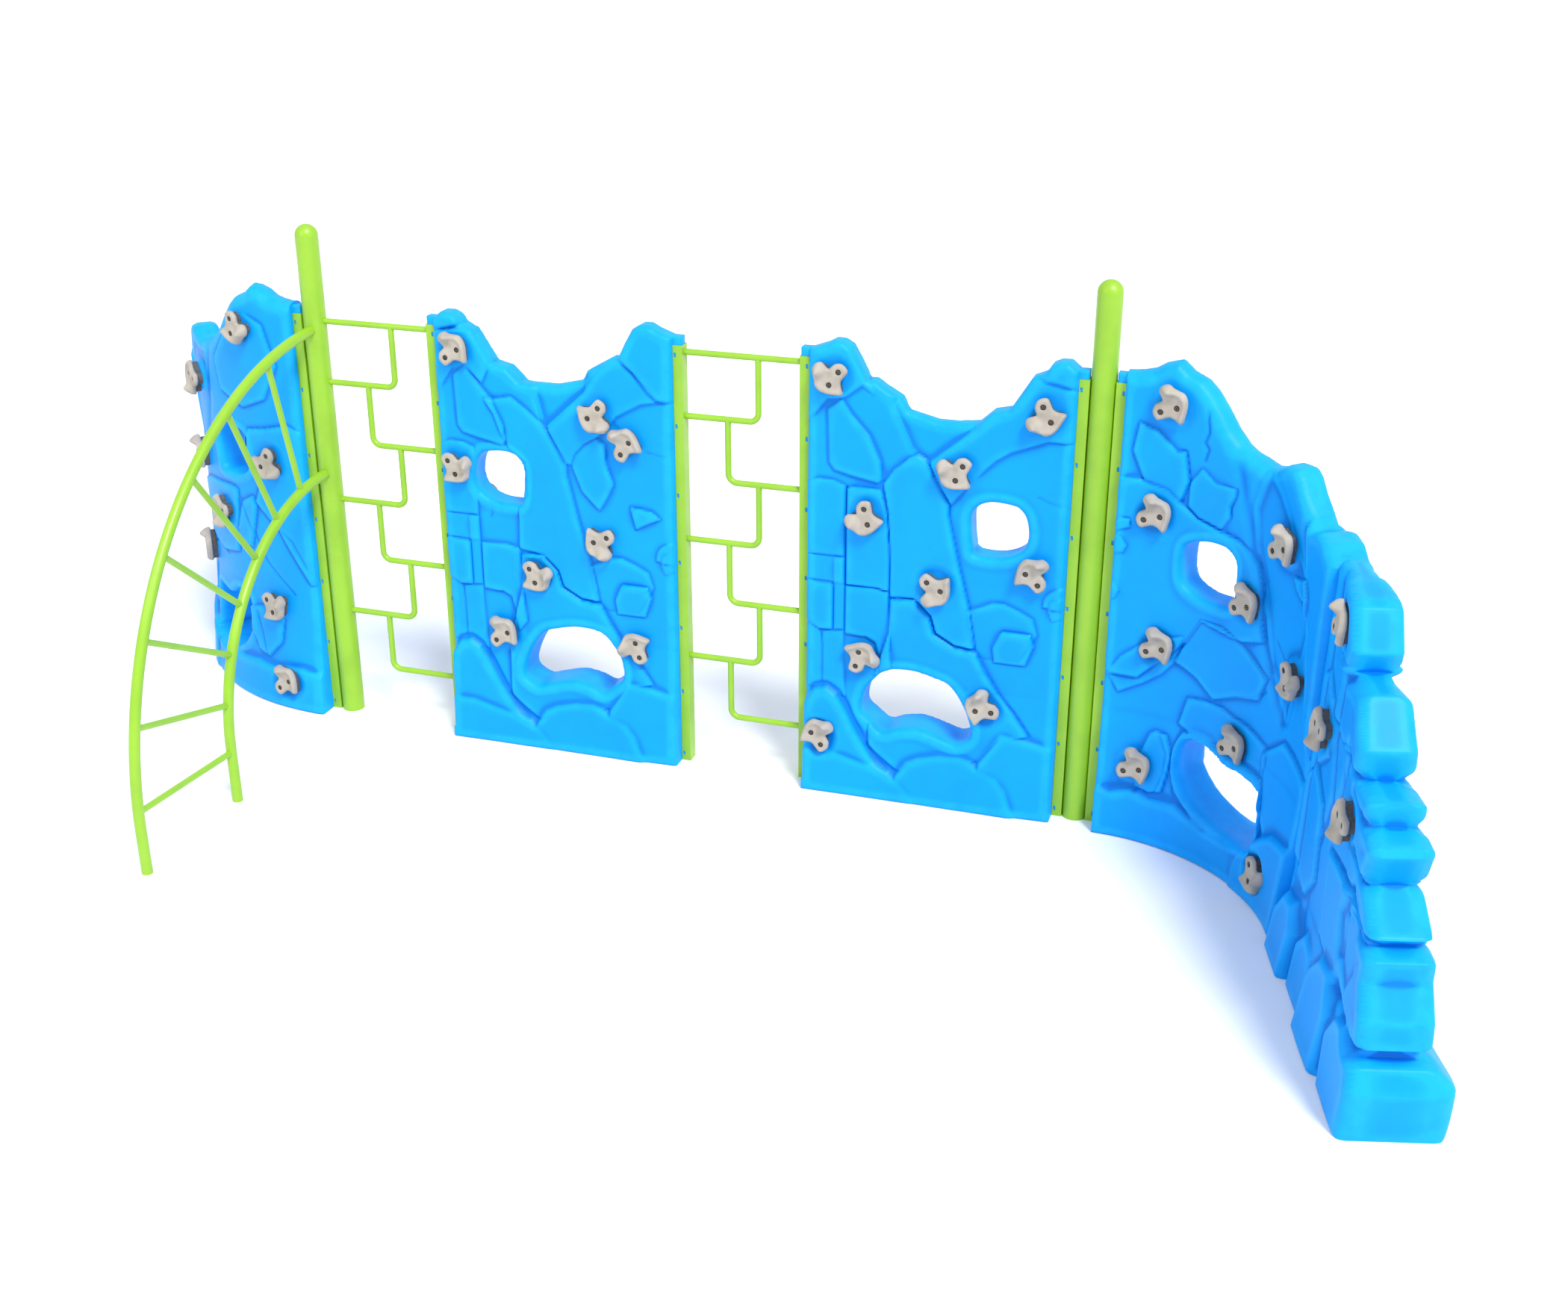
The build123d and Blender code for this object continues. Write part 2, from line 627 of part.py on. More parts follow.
def placed(part, places):
    """One part holding a copy of the given part at each place."""
    with BuildPart() as copies:
        with Locations(*places):
            add(part)
    return copies.part


def finish(part, name):
    """Names a finished piece and writes it to its own file."""
    part.label = name
    export_step(part, f"parts/{name}.step")


os.makedirs("parts", exist_ok=True)

left_panel_place = Location((LEFT_PANEL_X, 0, 0))
right_panel_place = Location((RIGHT_PANEL_X, 0, 0), (0, 0, 180))
right_wing_place = Location((0, 0, 0))
left_wing_place = Location((0, 0, 0), (0, 0, 180))

# ---- Posts, caps and channels -------------------------------------------------------
for side, x in (("left", LEFT_POST_X), ("right", RIGHT_POST_X)):
    finish(placed(post_blank.part, [Location((x, 0, 0))]), f"{side}_post")
    finish(placed(cap_blank.part, [Location((x, 0, 0))]), f"{side}_post_cap")

facing_right = (0, 0, 0)
facing_left = (0, 0, 180)
channels = {
    "left_wing_channel": (LEFT_POST_X - POST_R, facing_left),
    "left_panel_left_channel": (LEFT_PANEL_X - HALF_PANEL, facing_right),
    "left_panel_right_channel": (LEFT_PANEL_X + HALF_PANEL, facing_left),
    "right_panel_left_channel": (RIGHT_PANEL_X - HALF_PANEL, facing_right),
    "right_panel_right_channel": (RIGHT_PANEL_X + HALF_PANEL, facing_left),
    "right_wing_channel": (RIGHT_POST_X + POST_R, facing_right),
}
for name, (x, facing) in channels.items():
    finish(placed(channel_blank.part, [Location((x, 0, 0), facing)]), name)


def channel_screws(*names):
    """The screws of the named channels, all put in from the back of the wall."""
    with BuildPart() as screws:
        for name in names:
            x, facing = channels[name]
            shift = x if facing == facing_right else x - 2 * SLOT_SETBACK
            with Locations((shift, 0, 0)):
                add(channel_screw_blank.part)
    return screws.part


finish(channel_screws("left_wing_channel"), "left_wing_channel_screws")
finish(channel_screws("right_wing_channel"), "right_wing_channel_screws")
for side in ("left", "right"):
    pair = (f"{side}_panel_left_channel", f"{side}_panel_right_channel")
    finish(channel_screws(*pair), f"{side}_panel_channel_screws")

# ---- Moulded sections, placed, with the holes for their channel screws -------------
with BuildPart() as left_panel:
    with Locations(left_panel_place):
        add(panel_blank.part)
    screw_holes(LEFT_PANEL_X - HALF_PANEL, 1)
    screw_holes(LEFT_PANEL_X + HALF_PANEL, -1)
finish(left_panel.part, "left_panel")

with BuildPart() as right_panel:
    with Locations(right_panel_place):
        add(panel_blank.part)
    screw_holes(RIGHT_PANEL_X - HALF_PANEL, 1)
    screw_holes(RIGHT_PANEL_X + HALF_PANEL, -1)
finish(right_panel.part, "right_panel")

with BuildPart() as right_curved_wall:
    add(wing_blank.part)
    screw_holes(RIGHT_POST_X + POST_R, 1)
finish(right_curved_wall.part, "right_curved_wall")

with BuildPart() as left_curved_wall:
    with Locations(left_wing_place):
        add(wing_blank.part)
    screw_holes(LEFT_POST_X - POST_R, -1)
finish(left_curved_wall.part, "left_curved_wall")

for side, place in (("right", right_wing_place), ("left", left_wing_place)):
    finish(placed(end_blank.part, [place]), f"{side}_end_wall")
    finish(placed(joint_bolts_blank.part, [place]), f"{side}_joint_bolts")
    finish(placed(joint_nuts_blank.part, [place]), f"{side}_joint_nuts")


# ---- Holds, spacers, bolts and inserts of every moulded section --------------------
def hold_set(section, body, dip, place, right_handed, left_handed):
    """Writes a section's holds, spacers, bolts and inserts; a flat section has no body."""
    right_places = [place * plane.location for plane in right_handed]
    left_places = [place * plane.location for plane in left_handed]
    with BuildPart() as holds:
        with Locations(*right_places):
            add(hold_right.part)
        if left_places:
            with Locations(*left_places):
                add(hold_left.part)
    finish(holds.part, f"{section}_holds")
    finish(placed(bolts_blank.part, right_places + left_places), f"{section}_hold_bolts")
    inserts = placed(inserts_blank.part, right_places + left_places)
    finish(inserts, f"{section}_hold_inserts")
    if body is None:
        finish(placed(spacer_flat, right_places), f"{section}_hold_spacers")
        return
    # On a curved or kinked face the spacer sinks in by its dip and is cut to the face.
    seat = spacer(dip)
    seat_left = mirror(seat, about=Plane.XZ, mode=Mode.PRIVATE)
    with BuildPart() as spacers:
        with Locations(*right_places):
            add(seat)
        if left_places:
            with Locations(*left_places):
                add(seat_left)
        add(body, mode=Mode.SUBTRACT)
        add(inserts, mode=Mode.SUBTRACT)
    finish(spacers.part, f"{section}_hold_spacers")


hold_set("left_panel", left_panel.part, PANEL_DIP, left_panel_place, panel_holds_a, panel_holds_b)
hold_set("right_panel", right_panel.part, PANEL_DIP, right_panel_place, panel_holds_a, panel_holds_b)
wing_holds = wing_holds_inside + wing_holds_outside
hold_set("right_wall", right_curved_wall.part, WING_DIP, right_wing_place, wing_holds, [])
hold_set("left_wall", left_curved_wall.part, WING_DIP, left_wing_place, wing_holds, [])
hold_set("right_end", None, 0, right_wing_place, end_holds_inside, [])
hold_set("left_end", None, 0, left_wing_place, end_holds_inside, [])


# ---- Ladders of the straight run ----------------------------------------------------
def tube_section():
    """Ring-shaped sketch of a rung's tube."""
    Circle(RUNG_R)
    Circle(RUNG_R - RUNG_WALL, mode=Mode.SUBTRACT)


def top_rung(start, end, post_x):
    """The straight rung at the top of a ladder, coped to the post where it meets one."""
    with BuildPart() as rung:
        with BuildSketch(Plane.YZ.offset(start)):
            with Locations((0, RUNG_TOP)):
                tube_section()
        extrude(amount=end - start)
        if post_x is not None:
            with Locations((post_x, 0, RUNG_TOP)):
                Cylinder(POST_R, POST_OD, mode=Mode.SUBTRACT)
    return rung.part


def bent_rung(side, upright, height, post_x):
    """A rung from one side that turns up into an upright and meets the rung above."""
    way = 1 if upright > side else -1
    above = height + RUNG_STEP
    tip = above - WELD_GAP
    with BuildPart() as rung:
        with BuildLine(Plane.XZ):
            FilletPolyline((side, height), (upright, height), (upright, tip), radius=RUNG_BEND)
        with BuildSketch(Plane(origin=(side, 0, height), x_dir=(0, 1, 0), z_dir=(way, 0, 0))):
            tube_section()
        sweep()
        with Locations((upright, 0, above)):
            Cylinder(RUNG_R, 3 * RUNG_OD, rotation=(0, 90, 0), mode=Mode.SUBTRACT)
        if post_x is not None:
            with Locations((post_x, 0, height)):
                Cylinder(POST_R, POST_OD, mode=Mode.SUBTRACT)
    return rung.part


def ladder(name, left, right, post_x):
    """Writes the top rung and the left and right bent rungs of one ladder."""
    middle = (right + left) / 2 if post_x is None else (right + left + POST_R) / 2
    finish(top_rung(left, right, post_x), f"{name}_top_rung")
    lefts = []
    rights = []
    for i in range(1, RUNG_COUNT):
        height = RUNG_TOP - i * RUNG_STEP
        if i % 2:
            lefts.append(bent_rung(left, middle + UPRIGHT_OFFSET, height, post_x))
        else:
            rights.append(bent_rung(right, middle - UPRIGHT_OFFSET, height, None))
    with BuildPart() as left_rungs:
        add(lefts)
    finish(left_rungs.part, f"{name}_left_rungs")
    with BuildPart() as right_rungs:
        add(rights)
    finish(right_rungs.part, f"{name}_right_rungs")


ladder("outer_ladder", LEFT_POST_X, LEFT_PANEL_X - HALF_PANEL, LEFT_POST_X)
ladder("middle_ladder", LEFT_PANEL_X + HALF_PANEL, RIGHT_PANEL_X - HALF_PANEL, None)

# ---- Arched ladder: x of this plane runs forward from the left post, y up -----------
arch = Plane(origin=(LEFT_POST_X, 0, 0), x_dir=(0, -1, 0), z_dir=(-1, 0, 0))


def rail(reach, foot, radius, solid):
    """Rail that rises from the ground and bends over in one arc to the post's axis."""
    arc = degrees(acos((radius - reach) / radius))
    with BuildPart() as tube:
        with BuildLine(arch):
            Line((reach, 0), (reach, foot))
            CenterArc((reach - radius, foot), radius, 0, arc)
        with BuildSketch(Plane(origin=(LEFT_POST_X, -reach, 0), z_dir=UP)):
            Circle(RAIL_R)
            if not solid:
                Circle(RAIL_R - RAIL_WALL, mode=Mode.SUBTRACT)
        sweep()
        if not solid:
            with Locations((LEFT_POST_X, 0, foot + radius)):
                Cylinder(POST_R, 3 * RAIL_OD, mode=Mode.SUBTRACT)
    return tube.part


def rail_point(reach, foot, radius, length):
    """Point on a rail's middle line, a length up it from the ground, in the arch plane."""
    if length < foot:
        return reach, length
    turn = (length - foot) / radius
    return reach - radius + radius * cos(turn), foot + radius * sin(turn)


finish(rail(OUTER_REACH, OUTER_FOOT, OUTER_RADIUS, False), "arch_outer_rail")
finish(rail(INNER_REACH, INNER_FOOT, INNER_RADIUS, False), "arch_inner_rail")

with BuildPart() as arch_rungs:
    for i in range(ARCH_RUNGS):
        outer_end = rail_point(OUTER_REACH, OUTER_FOOT, OUTER_RADIUS, OUTER_FIRST + i * OUTER_PITCH)
        inner_end = rail_point(INNER_REACH, INNER_FOOT, INNER_RADIUS, INNER_FIRST + i * INNER_PITCH)
        start = arch.from_local_coords(Vector(*inner_end))
        end = arch.from_local_coords(Vector(*outer_end))
        with BuildSketch(Plane(origin=start, z_dir=end - start)):
            tube_section()
        extrude(amount=(end - start).length)
    add(rail(OUTER_REACH, OUTER_FOOT, OUTER_RADIUS, True), mode=Mode.SUBTRACT)
    add(rail(INNER_REACH, INNER_FOOT, INNER_RADIUS, True), mode=Mode.SUBTRACT)
finish(arch_rungs.part, "arch_rungs")
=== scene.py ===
# %% [markdown]
# A free-standing playground climbing wall. Two green posts carry a straight run of
# ladder, moulded panel, ladder and moulded panel, a curved wing leaves each post, and an
# arched ladder climbs to the left post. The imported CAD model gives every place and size.
# This lesson rebuilds its visible surfaces as moulded rock, cast resin and coated steel.

# %% Load the frame
import json
import math

import bpy
import numpy as np
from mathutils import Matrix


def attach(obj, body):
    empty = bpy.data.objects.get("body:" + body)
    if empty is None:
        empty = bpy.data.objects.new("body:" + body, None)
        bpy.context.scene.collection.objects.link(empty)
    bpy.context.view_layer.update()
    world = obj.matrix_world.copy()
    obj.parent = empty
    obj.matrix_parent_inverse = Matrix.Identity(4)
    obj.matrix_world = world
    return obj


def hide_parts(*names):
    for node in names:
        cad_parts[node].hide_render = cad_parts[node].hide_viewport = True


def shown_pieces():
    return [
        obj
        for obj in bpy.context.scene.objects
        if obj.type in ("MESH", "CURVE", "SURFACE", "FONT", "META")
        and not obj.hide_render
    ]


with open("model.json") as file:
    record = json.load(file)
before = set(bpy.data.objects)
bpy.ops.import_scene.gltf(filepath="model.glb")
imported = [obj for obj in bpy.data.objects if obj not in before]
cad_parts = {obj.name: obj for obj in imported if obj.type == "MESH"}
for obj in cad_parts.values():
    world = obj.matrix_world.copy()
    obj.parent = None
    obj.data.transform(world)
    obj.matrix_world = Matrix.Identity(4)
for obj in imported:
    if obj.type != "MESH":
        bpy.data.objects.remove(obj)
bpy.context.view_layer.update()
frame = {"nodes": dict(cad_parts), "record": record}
nodes = frame["nodes"]

# %% [markdown]
# The camera stands in front of the right-hand side at about twice head height and looks
# down a little. It is made first, so that every later step can be looked at.

# %% Camera
camera_data = bpy.data.cameras.new("camera")
camera_data.lens = 43.26
camera_data.sensor_width = 36.0
camera = bpy.data.objects.new("camera", camera_data)
camera.location = (3.4702, -8.9672, 4.8830)
camera.rotation_euler = (math.radians(90 - 23.79), 0.0, math.radians(18.07))
bpy.context.scene.collection.objects.link(camera)
bpy.context.scene.camera = camera
print("camera", tuple(camera.location))

# %% [markdown]
# The wall's sizes are the CAD model's own, in millimetres: the straight run's panels,
# the wing's path of a short lead and an arc, and the heights that its faces lean to.

# %% Sizes of the wall
MM = 0.001
POST_R = 63.5
POST_TOP = 2831.5
POST_X = 2184.5
PANEL_WIDTH = 1481.0
LEFT_PANEL_X = -740.5
RIGHT_PANEL_X = 1380.5
BODY_INSET = 53.0
TONGUE_INSET = 5.5
TONGUE_HALF = 32.5
TONGUE_TOP = 2450.0
WING_LEAD = 119.0
WING_RADIUS = 1180.0
WING_TURN = math.radians(75.0)
ARC_END = WING_LEAD + WING_RADIUS * WING_TURN
FACE_HEIGHTS = (0, 330, 700, 1900, 2500)
FACE_DEPTHS = (150, 118, 84, 82, 57)
WING_HEIGHTS = (0, 330, 700, 2600)
WING_DEPTHS = (150, 118, 83, 83)
GRID = 9.0

# %% [markdown]
# A moulded rock face is a flat sheet of plastic pushed in and out. Sculpting it by hand
# would work, but here every stone is a drawn outline, and the distance to that outline
# says how far a point lies inside it. One array function gives that for a whole grid.


# %% Distances and soft steps
def ramp(value):
    """0 below 0, 1 above 1, and 3t^2 - 2t^3 between them, so both ends are level."""
    t = np.clip(value, 0.0, 1.0)
    return t * t * (3.0 - 2.0 * t)


def side_distance(x, z, start, end):
    """Distance to one straight side: to its nearest point, a clipped share along it."""
    dx, dz = end[0] - start[0], end[1] - start[1]
    share = ((x - start[0]) * dx + (z - start[1]) * dz) / (dx * dx + dz * dz)
    share = np.clip(share, 0.0, 1.0)
    return np.hypot(x - start[0] - share * dx, z - start[1] - share * dz)


def inside_of(x, z, points):
    """Distance to a closed outline, positive inside it, where a ray crosses it an odd
    number of times, and negative outside."""
    nearest = np.full(np.shape(x), np.inf)
    crossed = np.zeros(np.shape(x), bool)
    for start, end in zip(points, [*points[1:], points[0]]):
        nearest = np.minimum(nearest, side_distance(x, z, start, end))
        rise = end[1] - start[1] or 1e-9
        at = start[0] + (z - start[1]) * (end[0] - start[0]) / rise
        crossed ^= ((start[1] > z) != (end[1] > z)) & (x < at)
    return np.where(crossed, nearest, -nearest)


def along_line(x, z, points):
    """Distance to an open line of straight sides."""
    sides = [side_distance(x, z, a, b) for a, b in zip(points, points[1:])]
    return np.minimum.reduce(sides)


def smooth_loop(points, pieces=6):
    """A closed curve through the points: each span is the cubic that leaves a point in
    the direction from the point before it to the point after it (Catmull and Rom)."""
    p = np.array(points, float)
    t = np.linspace(0.0, 1.0, pieces, endpoint=False)[:, None, None]
    a, b, c, d = np.roll(p, 1, 0), p, np.roll(p, -1, 0), np.roll(p, -2, 0)
    span = 2 * b + (c - a) * t + (2 * a - 5 * b + 4 * c - d) * t**2
    span = (span + (3 * b - a - 3 * c + d) * t**3) / 2
    return span.transpose(1, 0, 2).reshape(-1, 2).tolist()


print("inside a square:", inside_of(np.array([5.0]), np.array([5.0]), [(0, 0), (10, 0), (10, 10), (0, 10)]))

# %% [markdown]
# Three tools shape a face. A stone lifts the surface inside its outline, and may lean so
# that one end stands out further. A block pulls the surface out to a set depth, which
# makes the boulders at the foot. A crack cuts a soft groove along a line.


# %% Stones, blocks and cracks
STONE_GAIN, STONE_SOFT = 1.4, 0.75


def stone(x, z, depth, rise, soft, lean, points):
    """Adds the rise, plus the lean times the place, over a soft step at the outline, and
    cuts a shallow groove just outside it."""
    inside = inside_of(x, z, points)
    centre = np.mean(points, axis=0)
    lift = rise + lean[0] * (x - centre[0]) + lean[1] * (z - centre[1])
    wide = soft * STONE_SOFT
    groove = 0.35 * abs(rise) * np.exp(-(((inside + 0.6 * wide) / (0.5 * wide)) ** 2))
    return depth + STONE_GAIN * (lift * ramp(inside / wide + 0.5) - groove)


def block(x, z, depth, out, soft, lean, points):
    """Moves the surface to the given depth, which leans with the place, inside."""
    inside = inside_of(x, z, points)
    centre = np.mean(points, axis=0)
    target = out + lean[0] * (x - centre[0]) + lean[1] * (z - centre[1])
    return depth + (target - depth) * ramp(inside / soft + 0.5)


def crack(x, z, depth, deep, width, points):
    """Takes away a bell-shaped groove: the depth times e to the minus (d / width)^2."""
    return depth - deep * np.exp(-((along_line(x, z, points) / width) ** 2))


def shaped(x, z, depth, stones=(), blocks=(), cracks=()):
    """The depth after every stone, crack and block of the face, in that order."""
    for rise, soft, lean, points in stones:
        depth = stone(x, z, depth, rise, soft, lean, points)
    for deep, width, points in cracks:
        depth = crack(x, z, depth, deep, width, points)
    for out, soft, lean, points in blocks:
        depth = block(x, z, depth, out, soft, lean, points)
    return depth


def ripple(x, z, size):
    """A slow, shallow unevenness: the sum of three crossed sine waves."""
    waves = np.sin(x / 83.0 + 1.7 * np.sin(z / 190.0))
    waves += np.sin(z / 97.0 + 1.3 * np.sin(x / 170.0 + 2.0))
    return size * (waves + np.sin((x + z) / 61.0)) / 3.0


print("stones, blocks and cracks ready")

# %% [markdown]
# A moulding is a hollow slab with two faces. It could be cut out with booleans, but a
# grid of square cells is simpler: cells whose middle lies inside the outline stay, and
# the points on the rim slide onto the outline, so the edge is exact. The front and back
# faces share the grid, and bands of faces join their rims.


# %% Slab mesh from two depth maps
def rim_edges(keep):
    """Pairs of grid points along the rim, with the kept cells on their left."""
    rows, cols = keep.shape
    index = np.arange((rows + 1) * (cols + 1)).reshape(rows + 1, cols + 1)
    wide = np.pad(keep, 1)
    below, above = keep & ~wide[:-2, 1:-1], keep & ~wide[2:, 1:-1]
    left, right = keep & ~wide[1:-1, :-2], keep & ~wide[1:-1, 2:]
    return np.concatenate([
        np.stack([index[:-1, :-1][below], index[:-1, 1:][below]], 1),
        np.stack([index[1:, 1:][above], index[1:, :-1][above]], 1),
        np.stack([index[1:, :-1][left], index[:-1, :-1][left]], 1),
        np.stack([index[:-1, 1:][right], index[1:, 1:][right]], 1),
    ])


def slide_to_rim(x, z, move, inside):
    """Moves the chosen points along the slope of the inside distance until it is 0."""
    px, pz = x[move], z[move]
    for _ in range(4):
        here = inside(px, pz)
        slope_x = inside(px + 0.5, pz) - inside(px - 0.5, pz)
        slope_z = inside(px, pz + 0.5) - inside(px, pz - 0.5)
        size = np.maximum(slope_x**2 + slope_z**2, 0.25)
        px, pz = px - here * slope_x / size, pz - here * slope_z / size
    x[move], z[move] = px, pz


def slab(span, step, inside, front, back, place, bands=6):
    """Points and faces of a closed slab. The front lies at the front depth
    and the back at minus the back depth; the rim runs between them in bands."""
    (x0, x1), (z0, z1) = span
    cols, rows = round((x1 - x0) / step), round((z1 - z0) / step)
    x, z = np.meshgrid(np.linspace(x0, x1, cols + 1), np.linspace(z0, z1, rows + 1))
    middle_x = (x[:-1, :-1] + x[1:, 1:]) / 2
    middle_z = (z[:-1, :-1] + z[1:, 1:]) / 2
    keep = inside(middle_x, middle_z) > 0
    edges = rim_edges(keep)
    x, z = x.ravel(), z.ravel()
    rim = np.unique(edges)
    slide_to_rim(x, z, rim, inside)
    index = np.arange(x.size).reshape(rows + 1, cols + 1)
    corners = [index[:-1, :-1], index[:-1, 1:], index[1:, 1:], index[1:, :-1]]
    quads = np.stack([corner[keep] for corner in corners], 1)
    used = np.unique(quads)
    new = np.full(x.size, -1)
    new[used] = np.arange(used.size)
    quads, edges = new[quads], new[edges]
    x, z = x[used], z[used]
    top, low = front(x, z), -back(x, z)
    rim = np.unique(edges)
    layers = [(x, z, top)]
    bases = [None]
    count = used.size
    for share in np.arange(1, bands) / bands:
        offset = top[rim] + (low[rim] - top[rim]) * share
        layers.append((x[rim], z[rim], offset))
        row = np.full(used.size, -1)
        row[rim] = count + np.arange(rim.size)
        bases.append(row)
        count += rim.size
    layers.append((x, z, low))
    bases[0] = np.arange(used.size)
    bases.append(count + np.arange(used.size))
    faces = [quads, bases[-1][quads[:, ::-1]]]
    for upper, lower in zip(bases, bases[1:]):
        a, b = edges[:, 0], edges[:, 1]
        faces.append(np.stack([upper[a], lower[a], lower[b], upper[b]], 1))
    flat = [np.concatenate(part) for part in zip(*layers)]
    return place(*flat), np.concatenate(faces)


def edge_drop(distance, radius):
    """How far a rounded edge falls back: a quarter circle over the first radius."""
    t = np.clip(1.0 - distance / radius, 0.0, 1.0)
    return radius * (1.0 - np.sqrt(1.0 - t * t))


print("slab builder ready")

# %% [markdown]
# Every new mesh goes through one helper. It writes the arrays into a mesh, shades it
# smooth but for creases, hangs it on the one rigid body, and hides the CAD nodes it
# stands for. A second helper joins arrays, so that one moulding stays one piece.

# %% Making the pieces
CREASE = math.radians(55.0)


def joined(*meshes):
    """Points and faces of several meshes as one, with the faces' numbers shifted."""
    counts = np.cumsum([0, *[len(points) for points, _ in meshes[:-1]]])
    points = np.concatenate([points for points, _ in meshes])
    return points, np.concatenate([faces + n for (_, faces), n in zip(meshes, counts)])


def make_piece(name, points, faces, replaced, crease=CREASE):
    """A mesh object in metres from points in millimetres and rows of corner numbers."""
    mesh = bpy.data.meshes.new(name)
    mesh.vertices.add(len(points))
    mesh.vertices.foreach_set("co", (points * MM).astype(np.float32).ravel())
    mesh.loops.add(faces.size)
    mesh.loops.foreach_set("vertex_index", faces.astype(np.int32).ravel())
    mesh.polygons.add(len(faces))
    corners = faces.shape[1]
    mesh.polygons.foreach_set("loop_start", np.arange(len(faces), dtype=np.int32) * corners)
    mesh.update(calc_edges=True)
    mesh.validate()
    mesh.polygons.foreach_set("use_smooth", np.ones(len(mesh.polygons), bool))
    mesh.set_sharp_from_angle(angle=crease)
    piece = bpy.data.objects.new(name, mesh)
    bpy.context.scene.collection.objects.link(piece)
    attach(piece, "root")
    if replaced:
        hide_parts(*replaced)
    print(name, "faces", len(mesh.polygons))
    return piece


RELIEF_ROUNDS, RELIEF_REACH = 16, 4.0


def convexity(points, faces):
    """How far each point stands out of its surroundings, in millimetres: the place less
    its mean over many rounds of neighbours, measured along the normal there."""
    count, start, end = len(points), faces.ravel(), np.roll(faces, -1, 1).ravel()
    links = np.bincount(start, minlength=count) + np.bincount(end, minlength=count)

    def gathered(at, values):
        return np.stack([np.bincount(at, column, count) for column in values.T], 1)

    even = points
    for _ in range(RELIEF_ROUNDS):
        even = (gathered(start, even[end]) + gathered(end, even[start])) / links[:, None]
    across = np.cross(points[faces[:, 2]] - points[faces[:, 0]],
                      points[faces[:, 3]] - points[faces[:, 1]])
    normal = gathered(start, np.repeat(across, faces.shape[1], 0))
    normal /= np.maximum(np.linalg.norm(normal, axis=1), 1e-9)[:, None]
    return ((points - even) * normal).sum(1)


def make_rock(name, points, faces, replaced):
    """A moulding, with the attribute that the plastic's colour reads: -1 in the depth of
    a crack, 0 on an even face and 1 on a sharp ridge."""
    piece = make_piece(name, points, faces, replaced)
    relief = np.clip(convexity(points, faces) / RELIEF_REACH, -1.0, 1.0)
    layer = piece.data.attributes.new("relief", "FLOAT", "POINT")
    layer.data.foreach_set("value", relief.astype(np.float32))


# %% [markdown]
# The panel's outline has a saddle between two peaks, a small window and a large hole to
# crawl through. Both panels come out of one mould, so one set of drawings serves both,
# and the right one stands turned half round.

# %% Outline of the panel
PANEL_RIDGE = [
    (100, 2484), (150, 2484), (190, 2465), (215, 2425), (280, 2396), (385, 2225),
    (470, 2205), (545, 2135), (600, 2128), (750, 2128), (900, 2165), (945, 2230),
    (1085, 2310), (1115, 2308), (1210, 2475), (1255, 2500), (1300, 2500), (1340, 2478),
]
PANEL_EDGE = [
    (BODY_INSET, 0), (BODY_INSET, 2445), *PANEL_RIDGE,
    (PANEL_WIDTH - BODY_INSET, 2445), (PANEL_WIDTH - BODY_INSET, 0),
]
WINDOW = smooth_loop([
    (268, 1664), (306, 1717), (353, 1733), (445, 1739), (512, 1716), (549, 1660),
    (549, 1573), (539, 1494), (519, 1448), (391, 1445), (290, 1490), (255, 1565),
])
CRAWL = smooth_loop([
    (500, 440), (575, 375), (663, 395), (790, 428), (900, 415), (985, 385), (1050, 430),
    (1110, 490), (1100, 590), (1060, 660), (990, 735), (900, 757), (820, 757), (720, 735),
    (630, 700), (548, 590),
])
EDGE_ROUND = 30.0
RIM_ROUND = 22.0


def panel_inside(x, z):
    """Distance to the nearest edge of the panel, its outer one or one of its holes."""
    holes = np.maximum(inside_of(x, z, WINDOW), inside_of(x, z, CRAWL))
    return np.minimum(inside_of(x, z, PANEL_EDGE), -holes)


print("panel outline", len(PANEL_EDGE), "points, window", len(WINDOW))

# %% [markdown]
# The stones of the panel's two faces are drawn as seen from the front of each face, from
# its left channel. Most are the same on both. Each row holds how far the stone rises,
# how soft its edge is, how it leans, and its outline.

